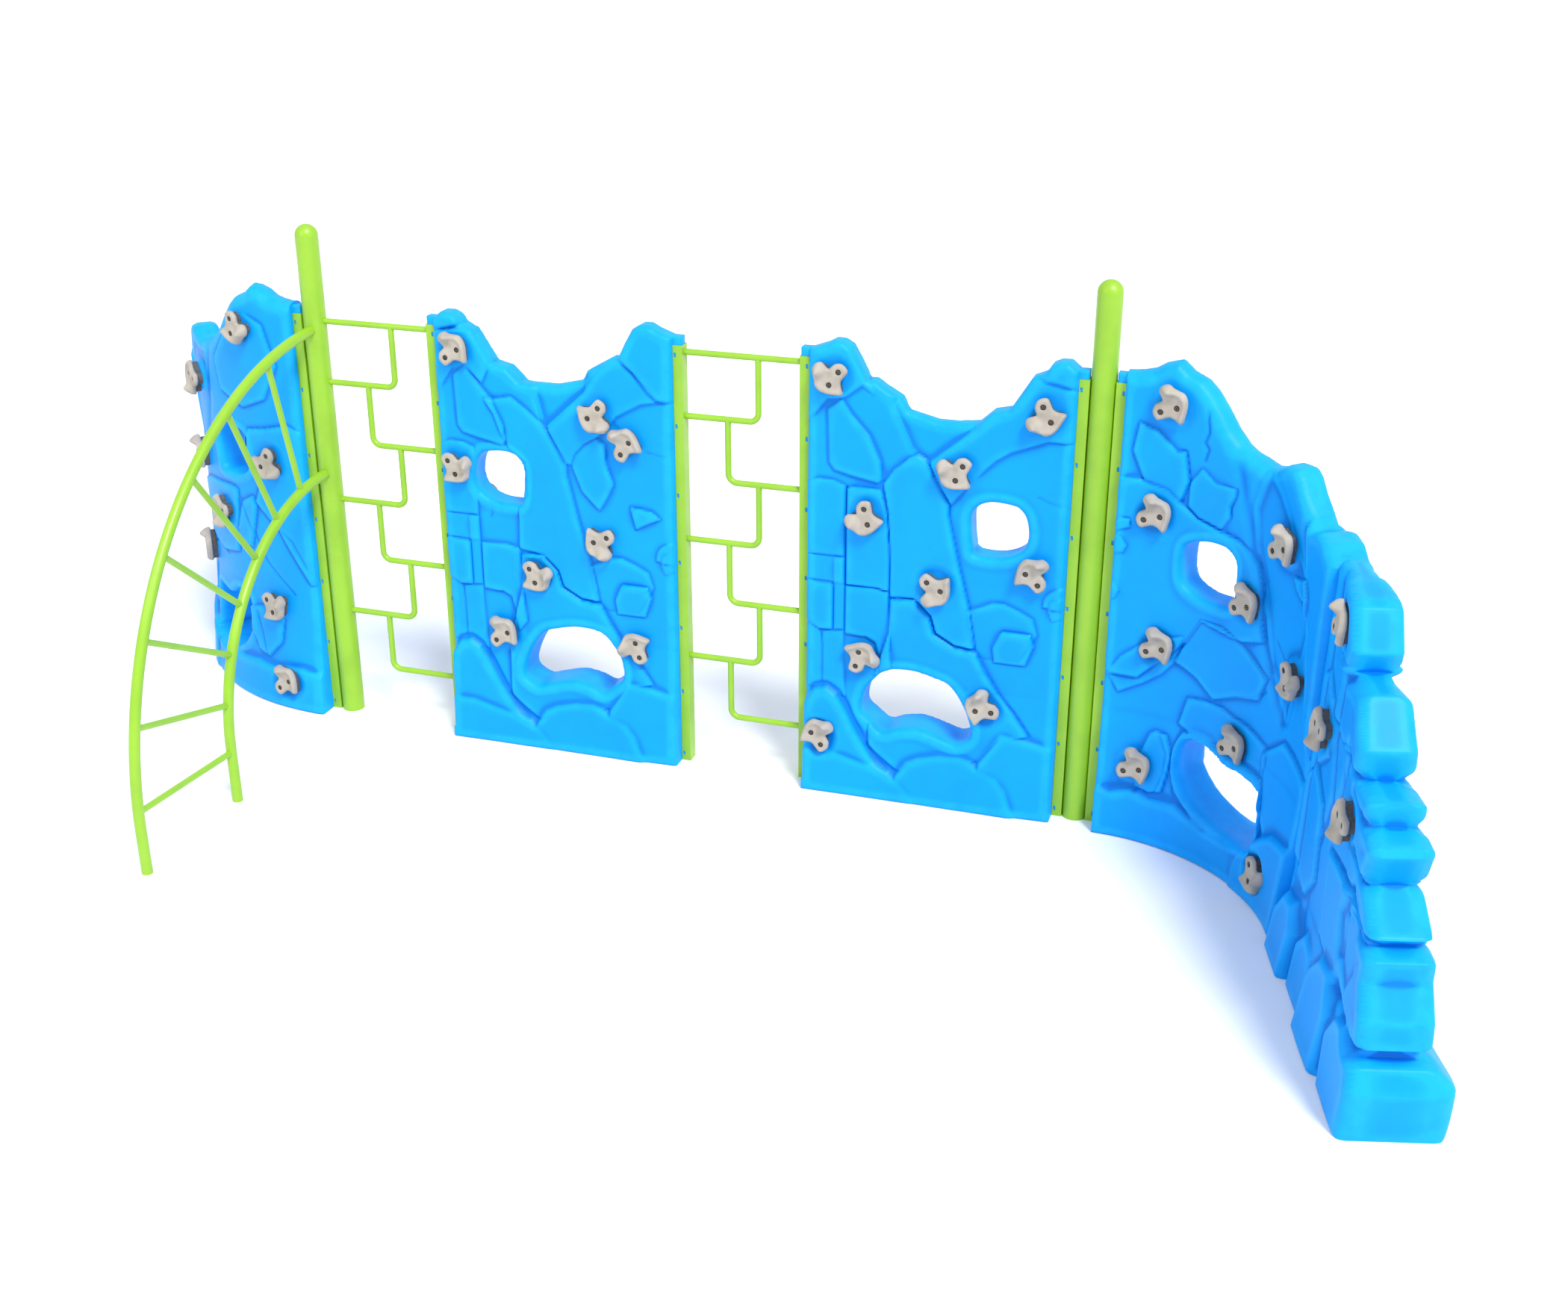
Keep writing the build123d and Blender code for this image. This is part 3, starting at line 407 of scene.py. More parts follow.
# %% Stones on both faces of the panel
BOTH_STONES = [
    (4, 14, (0, 0), [(0, 600), (0, 990), (45, 985), (130, 940), (145, 860), (145, 600)]),
    (4, 14, (0, 0), [(152, 600), (150, 925), (262, 938), (268, 700), (280, 560)]),
    (9, 12, (0, 0), [(0, 1000), (0, 1208), (190, 1206), (200, 1190), (200, 945), (130, 941),
                     (45, 986)]),
    (4, 12, (0, 0), [(208, 1352), (262, 1355), (262, 952), (208, 946)]),
    (4, 14, (0, 0), [(0, 1215), (0, 1356), (262, 1360), (262, 1215)]),
    (6, 16, (0, 0), [(0, 1364), (0, 1745), (60, 1752), (120, 1780), (200, 1776),
                     (262, 1752), (266, 1500), (262, 1366)]),
    (8, 14, (0, 0), [(276, 930), (276, 1202), (430, 1206), (508, 1188), (520, 950),
                     (532, 760), (482, 700), (440, 895), (390, 922)]),
    (8, 20, (0.02, 0), [(165, 2150), (178, 1872), (205, 1836), (300, 1812), (440, 1786),
                        (457, 1805), (446, 1900), (385, 2030), (290, 2130), (235, 2205)]),
    (12, 16, (0, 0.01), [(520, 1158), (648, 1166), (670, 1140), (730, 1080), (758, 987),
                         (868, 927), (985, 907), (1040, 800), (1110, 690), (1200, 590),
                         (1290, 472), (1130, 440), (1030, 300), (580, 180), (420, 300),
                         (420, 640), (515, 960)]),
    (5, 18, (0, 0.03), [(935, 1138), (1000, 1166), (1060, 1196), (1120, 1200), (1200, 1170),
                        (1272, 1134), (1300, 1050), (1210, 900), (1000, 890), (955, 1000)]),
    (9, 14, (0, 0.03), [(1110, 1034), (1126, 1048), (1268, 1045), (1286, 985), (1246, 872),
                        (1084, 872), (1074, 950)]),
    (6, 12, (0, 0), [(1322, 1212), (1332, 1262), (1352, 1290), (1392, 1314), (1450, 1322),
                     (1450, 1190)]),
    (5, 10, (0, 0), [(1352, 1190), (1362, 1240), (1402, 1262), (1450, 1268), (1450, 1150),
                     (1372, 1140)]),
    (20, 42, (0, 0.02), [(0, 0), (0, 440), (60, 520), (112, 592), (175, 606), (232, 572),
                         (290, 480), (360, 350), (440, 230), (500, 170), (480, 0)]),
]
BOTH_BLOCKS = [
    (131, 30, (-0.04, -0.045), [(1030, 290), (1090, 380), (1145, 466), (1260, 455),
                                (1350, 436), (1450, 405), (1450, -60), (1040, -60)]),
    (148, 34, (0, -0.06), [(578, 150), (640, 235), (700, 268), (820, 300), (930, 308),
                           (1000, 290), (1045, 245), (1130, 212), (1180, 150), (1235, 0),
                           (1240, -60), (560, -60)]),
    (158, 34, (-0.01, -0.05), [(0, -60), (0, 235), (80, 250), (190, 250), (300, 222),
                               (400, 196), (470, 192), (540, 165), (600, 110), (655, 50),
                               (710, -60)]),
]
print("shared stones", len(BOTH_STONES), "blocks", len(BOTH_BLOCKS))

# %% Stones on one face only
FACE_A_STONES = [
    (8, 16, (0, 0), [(345, 2035), (400, 2035), (500, 2055), (600, 1985), (695, 1905),
                     (760, 1790), (812, 1708), (812, 1650), (870, 1400), (940, 1150),
                     (976, 930), (870, 936), (766, 996), (738, 1086), (672, 1150),
                     (600, 1180), (507, 1190), (520, 1440), (575, 1500), (575, 1700),
                     (480, 1765), (440, 1850), (400, 1960)]),
    (-15, 22, (0, -0.03), [(618, 2200), (640, 2110), (700, 1905), (925, 2112), (950, 2200)]),
    (8, 12, (0.01, 0), [(846, 1705), (872, 1770), (930, 1830), (1000, 1872), (1040, 1846),
                        (1044, 1800), (1050, 1722), (1086, 1624), (1050, 1550),
                        (1000, 1466), (902, 1564)]),
    (9, 14, (0, 0), [(1180, 1502), (1300, 1489), (1352, 1453), (1290, 1425), (1210, 1382)]),
    (11, 22, (0, 0), [(1130, 2314), (1210, 2250), (1300, 2150), (1345, 2108), (1450, 2103),
                      (1450, 2540), (1210, 2540)]),
    (11, 20, (0, 0), [(0, 2388), (60, 2390), (150, 2410), (250, 2442), (345, 2452),
                      (345, 2540), (0, 2540)]),
    (6, 20, (0, 0), [(925, 2118), (700, 1910), (812, 1712), (846, 1710), (872, 1775),
                     (930, 1835), (1000, 1878), (1110, 2000), (1250, 2080), (1345, 2100),
                     (1300, 2150), (1130, 2310), (1085, 2330)]),
    (6, 16, (0, 0), [(0, 1985), (60, 2045), (160, 2195), (230, 2212), (330, 2120),
                     (385, 2240), (280, 2400), (60, 2390), (0, 2388)]),
]
FACE_B_STONES = [
    (9, 12, (0, 0), [(276, 1742), (330, 1753), (455, 1746), (490, 1600), (504, 1450),
                     (510, 1196), (430, 1212), (276, 1210)]),
    (9, 12, (0, 0), [(467, 1786), (520, 1864), (600, 1935), (645, 1957), (685, 1936),
                     (760, 1800), (812, 1708), (812, 1650), (872, 1400), (940, 1150),
                     (976, 930), (870, 936), (766, 996), (738, 1086), (672, 1150),
                     (640, 1173), (520, 1167), (515, 1190), (510, 1450), (494, 1650)]),
    (-12, 20, (0, -0.03), [(500, 2230), (518, 2180), (612, 1990), (646, 1962), (700, 1922),
                           (930, 2113), (950, 2230)]),
    (7, 18, (0, 0), [(824, 1712), (930, 1850), (1045, 1965), (1120, 2015), (1300, 2088),
                     (1450, 2085), (1450, 2345), (1290, 2382), (1200, 2425), (1110, 2320),
                     (940, 2235), (930, 2115), (702, 1920), (760, 1802)]),
    (12, 20, (0, 0), [(1190, 2428), (1280, 2386), (1450, 2350), (1450, 2540), (1190, 2540)]),
    (7, 20, (0, 0), [(0, 2070), (60, 2085), (160, 2208), (240, 2214), (340, 2290),
                     (400, 2250), (300, 2420), (200, 2540), (0, 2540)]),
]
FACE_A_CRACKS = [
    (5, 8, [(700, 1900), (760, 1786), (806, 1700), (806, 1650), (866, 1400), (936, 1150),
            (972, 922), (868, 930)]),
    (3, 7, [(330, 1450), (352, 1430), (350, 1372), (338, 1360)]),
    (4, 9, [(385, 925), (440, 900), (462, 800), (488, 715)]),
    (3, 8, [(1060, 1995), (1140, 1925), (1250, 1830), (1400, 1800)]),
]
FACE_B_CRACKS = [
    (6, 7, [(270, 1745), (264, 1500), (270, 1205)]),
    (6, 8, [(640, 1960), (688, 1932), (765, 1792), (812, 1702), (808, 1650), (868, 1400),
            (938, 1150), (974, 922), (868, 932), (762, 990), (734, 1084), (668, 1152)]),
    (4, 9, [(1110, 690), (1200, 592), (1288, 474)]),
    (3, 8, [(1270, 1795), (1330, 1770), (1400, 1755)]),
    (4, 9, [(385, 925), (440, 900), (462, 800), (488, 715)]),
]
print("face stones", len(FACE_A_STONES), len(FACE_B_STONES))

# %% [markdown]
# Under each hold the mould has a flat seat, so the relief fades back to the plain face
# within a hand's width of every hold. The tables give each hold's place and the turn of
# its two bolts, the same as in the CAD model.

# %% Places of the holds
PANEL_HOLDS_A = [
    (183, 2275, 34), (145, 1640, -61), (1000, 2021, -135), (1179, 1847, 55),
    (1016, 1313, -156), (597, 1055, -69), (389, 660, 36), (1215, 683, 107),
]
PANEL_HOLDS_B = [
    (203, 2321, -125), (389, 1613, -76), (356, 809, 79), (141, 317, 132), (870, 1896, -115),
    (759, 1271, -29), (1294, 2234, -60), (1266, 1372, 140), (1051, 599, -179),
]
WING_HOLDS_INSIDE = [
    (365, 2324, 20), (321, 1772, 18), (397, 1081, 18), (332, 400, 15), (919, 1448, 20),
    (936, 701, 20), (1156, 1810, 22), (1352, 1232, -71), (1312, 175, -75),
]
WING_HOLDS_OUTSIDE = [
    (467, 2312, -93), (340, 1545, -124), (411, 635, -57), (330, 161, 36), (998, 1906, 170),
    (1074, 1400, 20), (792, 1146, 180), (1227, 752, 15),
]
END_HOLDS_INSIDE = [(319, 1749, 20), (249, 1240, 180), (811, 1083, 175)]
SEAT_IN, SEAT_OUT = 62.0, 125.0


def seated(x, z, depth, plain, holds):
    """Blends the depth back to the plain face near each hold."""
    for u, v, _ in holds:
        near = 1.0 - ramp((np.hypot(x - u, z - v) - SEAT_IN) / (SEAT_OUT - SEAT_IN))
        depth = depth + (plain - depth) * near
    return depth


print("holds on a panel", len(PANEL_HOLDS_A) + len(PANEL_HOLDS_B))


# %% Depth of the panel's two faces
LIP_WIDTH, LIP_RISE = 34.0, 6.0


def lip(distance):
    """A low raised band just outside a hole: one hump of a squared cosine."""
    t = np.clip(np.abs(distance + LIP_WIDTH) / LIP_WIDTH, 0.0, 1.0)
    return LIP_RISE * np.cos(t * math.pi / 2) ** 2


def panel_face(x, z, window, crawl, stones, cracks, holds):
    """Plain leaning face, then stones and boulders, seats, lips and rounded edges."""
    plain = np.interp(z, FACE_HEIGHTS, FACE_DEPTHS)
    depth = np.interp(z, (0, 330, 700, 1900, 2500), (128, 112, 82, 78, 54))
    depth = shaped(x, z, depth, BOTH_STONES + stones, BOTH_BLOCKS, cracks)
    depth = seated(x, z, depth + ripple(x, z, 1.2), plain, holds)
    depth = depth + lip(window) + lip(crawl)
    outer = edge_drop(inside_of(x, z, PANEL_EDGE), np.where(z < 60, 10.0, EDGE_ROUND))
    rims = np.minimum(-window, -crawl)
    return depth - np.maximum(outer, edge_drop(rims, RIM_ROUND))


def panel_front(x, z):
    """Depth of face A."""
    window, crawl = inside_of(x, z, WINDOW), inside_of(x, z, CRAWL)
    return panel_face(x, z, window, crawl, FACE_A_STONES, FACE_A_CRACKS, PANEL_HOLDS_A)


def mirrored(points):
    """Outline as seen from the other face: every place measured from the other side."""
    return [(PANEL_WIDTH - x, z) for x, z in points]


EDGE_SEEN_BACK = mirrored(PANEL_EDGE)
WINDOW_SEEN_BACK, CRAWL_SEEN_BACK = mirrored(WINDOW), mirrored(CRAWL)


def panel_back(x, z):
    """Depth of face B, drawn from its own left, so the place is counted backwards."""
    u = PANEL_WIDTH - x
    window, crawl = inside_of(x, z, WINDOW), inside_of(x, z, CRAWL)
    plain = np.interp(z, FACE_HEIGHTS, FACE_DEPTHS)
    depth = np.interp(z, (0, 330, 700, 1900, 2500), (128, 112, 82, 78, 54))
    depth = shaped(u, z, depth, BOTH_STONES + FACE_B_STONES, BOTH_BLOCKS, FACE_B_CRACKS)
    depth = seated(u, z, depth + ripple(u, z, 1.2), plain, PANEL_HOLDS_B)
    depth = depth + lip(window) + lip(crawl)
    outer = edge_drop(inside_of(x, z, PANEL_EDGE), np.where(z < 60, 10.0, EDGE_ROUND))
    return depth - np.maximum(outer, edge_drop(np.minimum(-window, -crawl), RIM_ROUND))


# %% Panels
def panel_place(middle, way):
    """Puts (across, up, outwards) into the wall for a panel with that middle."""
    def place(x, z, offset):
        across = (x - PANEL_WIDTH / 2) * way
        return np.stack([middle + across, -offset * way, z], 1)
    return place


def box_inside(x0, x1, z0, z1):
    """Distance to the sides of an upright rectangle."""
    def inside(x, z):
        return np.minimum(np.minimum(x - x0, x1 - x), np.minimum(z - z0, z1 - z))
    return inside


def tongue(x0, x1, place):
    """The plain upright strip of the moulding that a channel holds."""
    inside = box_inside(x0, x1, 0.0, TONGUE_TOP)

    def half(x, z):
        return TONGUE_HALF - edge_drop(inside(x, z), 6.0)

    return slab(((x0, x1), (0.0, TONGUE_TOP)), 8.0, inside, half, half, place, 3)


panel_span = ((BODY_INSET, PANEL_WIDTH - BODY_INSET), (0.0, 2502.0))
for name, middle, way in (("left_panel", LEFT_PANEL_X, 1), ("right_panel", RIGHT_PANEL_X, -1)):
    place = panel_place(middle, way)
    body = slab(panel_span, GRID, panel_inside, panel_front, panel_back, place)
    inner = BODY_INSET + 24.0
    tongues = [
        tongue(TONGUE_INSET, inner, place),
        tongue(PANEL_WIDTH - inner, PANEL_WIDTH - TONGUE_INSET, place),
    ]
    make_rock(name + "_rock", *joined(body, *tongues), [name])

# %% [markdown]
# A wing is the same kind of slab, drawn flat and then bent: the distance along it
# follows a short lead and an arc of 75 degrees. Its holes were cut straight through, so
# near them the drawing is stretched on the inside of the bend and squeezed on the
# outside, which keeps each hole's two rims in line.

# %% Outline of a curved wall
WING_START = POST_R + BODY_INSET
WING_RIDGE = [
    (182, 2470), (248, 2487), (300, 2520), (376, 2543), (430, 2495), (507, 2463),
    (558, 2419), (622, 2338), (683, 2253), (743, 2195), (807, 2167), (863, 2150),
    (923, 2135), (994, 2148), (1060, 2185), (1133, 2184), (1171, 2153), (1218, 2082),
    (1293, 2004), (1367, 1961), (1443, 1981), (1532, 1964), (1590, 1925),
]
WING_TOP = [(WING_START, 2465), *WING_RIDGE, (ARC_END, 1900)]
WING_EDGE = [(WING_START, 0), *WING_TOP, (ARC_END, 0)]
WING_WINDOW_AT, WING_CRAWL_AT = 658.0, 890.0
WING_WINDOW = smooth_loop([
    (509, 1630), (538, 1664), (584, 1682), (664, 1695), (744, 1685), (796, 1643),
    (809, 1591), (811, 1526), (808, 1460), (786, 1401), (711, 1394), (620, 1399),
    (528, 1444), (504, 1525),
])
WING_CRAWL = smooth_loop([
    (611, 490), (641, 617), (764, 633), (874, 574), (1010, 573), (1125, 561), (1154, 483),
    (1162, 389), (1166, 292), (1144, 244), (924, 221), (738, 287), (640, 391),
])
WING_TOP_ROUND = ((300.0, 900.0, 1150.0), (68.0, 60.0, 36.0))
WING_SIDE_ROUND = 14.0


def wing_inside(s, z):
    """Distance to the nearest edge of a curved wall, its outer one or a hole."""
    holes = np.maximum(inside_of(s, z, WING_WINDOW), inside_of(s, z, WING_CRAWL))
    return np.minimum(inside_of(s, z, WING_EDGE), -holes)


def path_point(s, offset, z):
    """Point of the right wing: the lead, the arc and the straight run beyond it, moved
    sideways by the offset towards the hollow of the curve."""
    turn = np.clip((s - WING_LEAD) / WING_RADIUS, 0.0, WING_TURN)
    past = np.maximum(s - ARC_END, 0.0)
    x = POST_X + np.minimum(s, WING_LEAD) + WING_RADIUS * np.sin(turn)
    y = WING_RADIUS * (np.cos(turn) - 1.0)
    x = x + past * np.cos(turn) - offset * np.sin(turn)
    y = y - past * np.sin(turn) - offset * np.cos(turn)
    return np.stack([x, y, z + 0.0 * s], 1)


def straight_cut(s, z, offset, middle, loop):
    """Place along the wing on a cut square to the wing at the middle, near that hole:
    the arc whose sine is the straight distance over the radius there."""
    near = ramp(1.0 + inside_of(s, z, loop) / 90.0)
    share = np.clip((s - middle) / (WING_RADIUS - offset), -0.9, 0.9)
    return s + (middle + WING_RADIUS * np.arcsin(share) - s) * near


def wing_place(way):
    """Bends the drawn wing to the right of the right post, or turns it half round."""
    def place(s, z, offset):
        s = straight_cut(s, z, offset, WING_WINDOW_AT, WING_WINDOW)
        s = straight_cut(s, z, offset, WING_CRAWL_AT, WING_CRAWL)
        return path_point(s, offset, z) * np.array([way, way, 1.0])
    return place


print("wing outline", len(WING_EDGE), "points, arc ends at", round(ARC_END, 1))

# %% Stones of a curved wall
WING_STONES_IN = [
    (10, 16, (0, 0), [(60, 1945), (220, 1950), (380, 1910), (450, 1862), (560, 1795),
                      (700, 1762), (820, 1742), (900, 1702), (950, 1660), (985, 1560),
                      (1000, 1440), (1050, 1300), (900, 1250), (640, 1285), (560, 1150),
                      (300, 900), (60, 900)]),
    (8, 14, (0, 0), [(205, 2230), (300, 2200), (412, 2112), (458, 2118), (475, 2050),
                     (492, 1970), (470, 1900), (452, 1862), (380, 1908), (250, 1945),
                     (180, 2090)]),
    (6, 12, (0, 0), [(560, 2050), (640, 1995), (762, 1990), (765, 1950), (738, 1895),
                     (747, 1850), (700, 1775), (560, 1805), (500, 1850), (500, 1970)]),
    (-12, 60, (0, 0), [(960, 2125), (1050, 2040), (1200, 1850), (1290, 1750), (1400, 1500),
                       (1300, 1000), (1130, 1200), (1010, 1560), (930, 1760), (900, 1930)]),
    (9, 12, (0, 0), [(1215, 1690), (1300, 1702), (1400, 1740), (1442, 1660), (1442, 1562),
                     (1368, 1588), (1290, 1612), (1250, 1640)]),
    (9, 14, (0, 0), [(500, 1030), (560, 1150), (640, 1286), (780, 1286), (900, 1242),
                     (1000, 1190), (1112, 1128), (1062, 1000), (900, 952), (760, 892),
                     (700, 932), (640, 976), (560, 1010)]),
    (8, 16, (0, 0), [(560, 700), (600, 850), (720, 868), (820, 866), (900, 842),
                     (1000, 830), (1160, 792), (1190, 752), (1170, 560), (700, 640)]),
    (6, 16, (0, 0), [(130, 900), (200, 1000), (330, 1100), (540, 1172), (500, 1022),
                     (430, 940), (330, 870), (200, 800)]),
    (11, 24, (0, 0), [(1170, 770), (1240, 820), (1330, 885), (1450, 862), (1700, 800),
                      (1700, 420), (1300, 350), (1180, 480)]),
    (7, 12, (0, 0), [(60, 1700), (140, 1737), (190, 1739), (196, 1700), (60, 1650)]),
    (6, 12, (0, 0), [(60, 1662), (150, 1640), (184, 1600), (166, 1560), (60, 1545)]),
    (6, 12, (0, 0), [(60, 1400), (122, 1396), (160, 1360), (142, 1310), (60, 1295)]),
    (9, 14, (0, 0), [(400, 600), (430, 622), (500, 612), (545, 500), (505, 300),
                     (430, 282), (350, 300), (332, 420)]),
    (10, 30, (0, 0), [(560, 560), (600, 660), (900, 650), (1180, 620), (1230, 300),
                      (1150, 200), (760, 200), (590, 330)]),
    (18, 60, (0, 0), [(1290, 2060), (1380, 1700), (1460, 1450), (1560, 1100), (1700, 900),
                      (1700, 2060)]),
]
WING_CRACKS_IN = [
    (9, 34, [(700, 2240), (790, 2080), (850, 1900), (930, 1720), (990, 1590),
             (1015, 1450), (1070, 1290), (1140, 1170), (1200, 1040), (1270, 960)]),
    (6, 8, [(940, 1700), (990, 1590), (1012, 1450), (1066, 1290), (1130, 1170)]),
    (8, 8, [(415, 2112), (458, 2116), (474, 2050), (492, 1968), (468, 1898), (452, 1858)]),
    (8, 8, [(562, 2330), (578, 2230), (560, 2180), (585, 2150), (570, 2095)]),
    (7, 8, [(772, 1990), (768, 1955), (742, 1896), (748, 1850)]),
    (5, 8, [(760, 890), (900, 958), (1030, 1002), (1112, 1060)]),
    (6, 8, [(460, 602), (508, 520), (505, 400), (468, 292)]),
    (4, 8, [(1140, 1330), (1230, 1250), (1260, 960)]),
]
WING_BLOCKS_IN = [
    (152, 36, (0, -0.08), [(60, 262), (200, 242), (330, 280), (440, 252), (600, 262),
                           (700, 232), (820, 196), (1000, 196), (1100, 225), (1120, -60),
                           (60, -60)]),
    (160, 44, (0, -0.08), [(1100, 250), (1250, 330), (1400, 420), (1700, 470),
                           (1700, -60), (1090, -60)]),
]
WING_STONES_OUT = [
    (9, 14, (0, 0), [(60, 1690), (200, 1762), (350, 1722), (480, 1700), (490, 1560),
                     (420, 1400), (480, 1260), (330, 1120), (150, 800), (60, 800)]),
    (9, 14, (0, 0), [(480, 1236), (505, 1292), (600, 1240), (700, 1000), (560, 960)]),
    (8, 16, (0, 0), [(640, 1300), (700, 1312), (1000, 1282), (1200, 1220), (1180, 900),
                     (900, 850), (700, 900)]),
    (8, 14, (0, 0), [(300, 2330), (420, 2380), (600, 2240), (720, 2080), (690, 1900),
                     (500, 1830), (330, 1900), (230, 2100)]),
    (-10, 60, (0, 0), [(900, 2080), (1100, 2090), (1250, 1900), (1300, 1500), (1200, 1300),
                       (960, 1500), (880, 1800)]),
    (9, 14, (0, 0), [(350, 590), (400, 622), (480, 612), (640, 560), (560, 320),
                     (480, 290), (380, 400)]),
    (9, 20, (0, 0), [(1180, 780), (1300, 880), (1700, 820), (1700, 400), (1300, 350)]),
    (16, 60, (0, 0), [(1330, 2060), (1400, 1700), (1500, 1300), (1700, 1000), (1700, 2060)]),
]
WING_CRACKS_OUT = [
    (9, 30, [(760, 2230), (850, 2000), (900, 1800), (1000, 1600), (1100, 1320)]),
    (6, 8, [(620, 1250), (450, 900), (270, 720)]),
    (6, 8, [(330, 1130), (240, 1060), (160, 900)]),
    (6, 8, [(850, 840), (1050, 860), (1200, 800)]),
    (6, 8, [(560, 560), (520, 430), (490, 300)]),
]
WING_BLOCKS_OUT = [
    (150, 36, (0, -0.08), [(60, 230), (240, 262), (420, 232), (560, 250), (720, 232),
                           (900, 196), (1080, 215), (1120, -60), (60, -60)]),
    (158, 40, (0, -0.08), [(1100, 240), (1300, 340), (1500, 400), (1700, 420),
                           (1700, -60), (1090, -60)]),
]


def wing_face(s, z, stones, blocks, cracks, holds):
    """Depth of one face of a curved wall: plain face, rocks, seats, lips, round edges."""
    plain = np.interp(z, WING_HEIGHTS, WING_DEPTHS)
    depth = np.interp(z, (0, 330, 700, 2600), (126, 110, 80, 78))
    depth = shaped(s, z, depth, stones, blocks, cracks)
    depth = seated(s, z, depth + ripple(s, z, 1.4), plain, holds)
    window, crawl = inside_of(s, z, WING_WINDOW), inside_of(s, z, WING_CRAWL)
    depth = depth + lip(window) + lip(crawl)
    top = edge_drop(along_line(s, z, WING_TOP), np.interp(s, *WING_TOP_ROUND))
    sides = np.minimum(s - WING_START, ARC_END - s)
    side = edge_drop(np.minimum(sides, z), WING_SIDE_ROUND)
    rims = edge_drop(np.minimum(-window, -crawl), RIM_ROUND)
    return depth - np.maximum(np.maximum(top, side), rims)


def wing_front(s, z):
    """Depth towards the hollow of the curve."""
    return wing_face(s, z, WING_STONES_IN, WING_BLOCKS_IN, WING_CRACKS_IN, WING_HOLDS_INSIDE)


def wing_back(s, z):
    """Depth towards the bulging side."""
    return wing_face(s, z, WING_STONES_OUT, WING_BLOCKS_OUT, WING_CRACKS_OUT,
                     WING_HOLDS_OUTSIDE)


# %% Curved walls
def tongue_place(way):
    """Puts the wing's tongue straight out from its post."""
    def place(x, z, offset):
        return np.stack([way * (POST_X + x), -way * offset, z], 1)
    return place


wing_span = ((WING_START, ARC_END), (0.0, 2545.0))
for name, way in (("right_curved_wall", 1), ("left_curved_wall", -1)):
    body = slab(wing_span, GRID, wing_inside, wing_front, wing_back, wing_place(way))
    strip = tongue(POST_R + TONGUE_INSET, WING_START + 24.0, tongue_place(way))
    make_rock(name + "_rock", *joined(body, strip), [name])

# %% [markdown]
# Beyond the curved wall stands a stair of thick rounded blocks. Its outline in side view
# is the steps, and its faces swell near that outline, which makes the hollow between.

# %% Stepped ends
END_EDGE = [
    (0, 0), (1526, 0), (1536, 225), (1500, 330), (1436, 350), (1436, 400), (1510, 430),
    (1500, 545), (1419, 684), (1428, 785), (1332, 813), (1386, 864), (1180, 995),
    (1248, 1155), (1237, 1190), (1093, 1212), (1086, 1310), (873, 1305), (871, 1432),
    (814, 1495), (719, 1612), (501, 1621), (529, 1716), (443, 1887), (395, 1913),
    (244, 1934), (0, 1936),
]
END_STAIR = END_EDGE[1:]
END_ROUND = 46.0
END_STONES = [
    (16, 26, (0.03, 0), [(190, 1990), (205, 1640), (480, 1600), (620, 1700), (500, 1990)]),
    (14, 26, (0.03, 0), [(330, 1625), (300, 1330), (560, 1300), (930, 1310), (900, 1650)]),
    (16, 26, (0.03, 0), [(560, 1310), (600, 1010), (900, 985), (1300, 1000), (1290, 1300)]),
    (14, 24, (0.03, 0), [(800, 990), (880, 820), (1450, 805), (1450, 1010)]),
    (18, 30, (0.02, 0), [(560, 800), (640, 430), (900, 400), (1240, 420), (1560, 420),
                         (1560, 800), (1000, 840)]),
    (-12, 26, (0, 0), [(980, 770), (1010, 560), (1150, 470), (1240, 620), (1180, 790)]),
    (10, 20, (0, 0), [(20, 900), (140, 1010), (330, 900), (420, 560), (300, 420), (20, 500)]),
    (8, 18, (0, 0), [(60, 1420), (150, 1480), (260, 1380), (300, 1120), (160, 1020),
                     (60, 1150)]),
]
END_CRACKS = [
    (34, 34, [(1440, 385), (1250, 372), (1050, 420)]),
    (30, 26, [(1340, 822), (1190, 800), (1010, 850)]),
    (26, 26, [(1190, 1000), (1040, 985), (900, 1010)]),
    (30, 26, [(1095, 1208), (960, 1190), (820, 1230)]),
    (28, 26, [(880, 1308), (760, 1300), (640, 1340)]),
    (30, 28, [(700, 1620), (560, 1600), (430, 1570)]),
    (16, 30, [(90, 1900), (110, 1400), (80, 900), (120, 500)]),
    (14, 26, [(430, 1560), (380, 1250), (450, 980), (380, 760)]),
    (16, 30, [(640, 1330), (600, 1120), (520, 980)]),
    (20, 36, [(1000, 850), (940, 700), (990, 560)]),
]
END_BLOCKS_IN = [
    (176, 44, (0, -0.16), [(60, -60), (40, 210), (130, 330), (270, 350), (360, 240),
                           (370, -60)]),
    (150, 44, (0, -0.10), [(390, -60), (400, 240), (500, 330), (640, 300), (690, 150),
                           (690, -60)]),
    (172, 50, (0, -0.14), [(710, -60), (720, 300), (820, 420), (980, 440), (1080, 300),
                           (1100, -60)]),
    (168, 44, (0, -0.06), [(1150, -60), (1130, 260), (1220, 400), (1330, 420), (1400, 330),
                           (1560, 340), (1560, -60)]),
]
END_IN_HEIGHTS, END_IN_DEPTHS = (0, 225, 400, 900, 1940), (160, 152, 98, 74, 54)
END_OUT_DEPTHS = (262, 300, 126, 110, 94)
END_IN_PLAN = ((0, 170, 350, 480, 936, 1224, 1438, 1536), (85, 148, 95, 112, 157, 150, 165, 90))
END_OUT_PLAN = ((0, 700, 1150, 1400, 1536), (116, 140, 250, 300, 262))


def soft_least(a, b, soft):
    """The smaller of two depths, rounded where they meet: their mean less the root of
    a quarter of their difference squared plus the softness squared."""
    return (a + b) / 2 - np.sqrt(((a - b) / 2) ** 2 + soft**2)


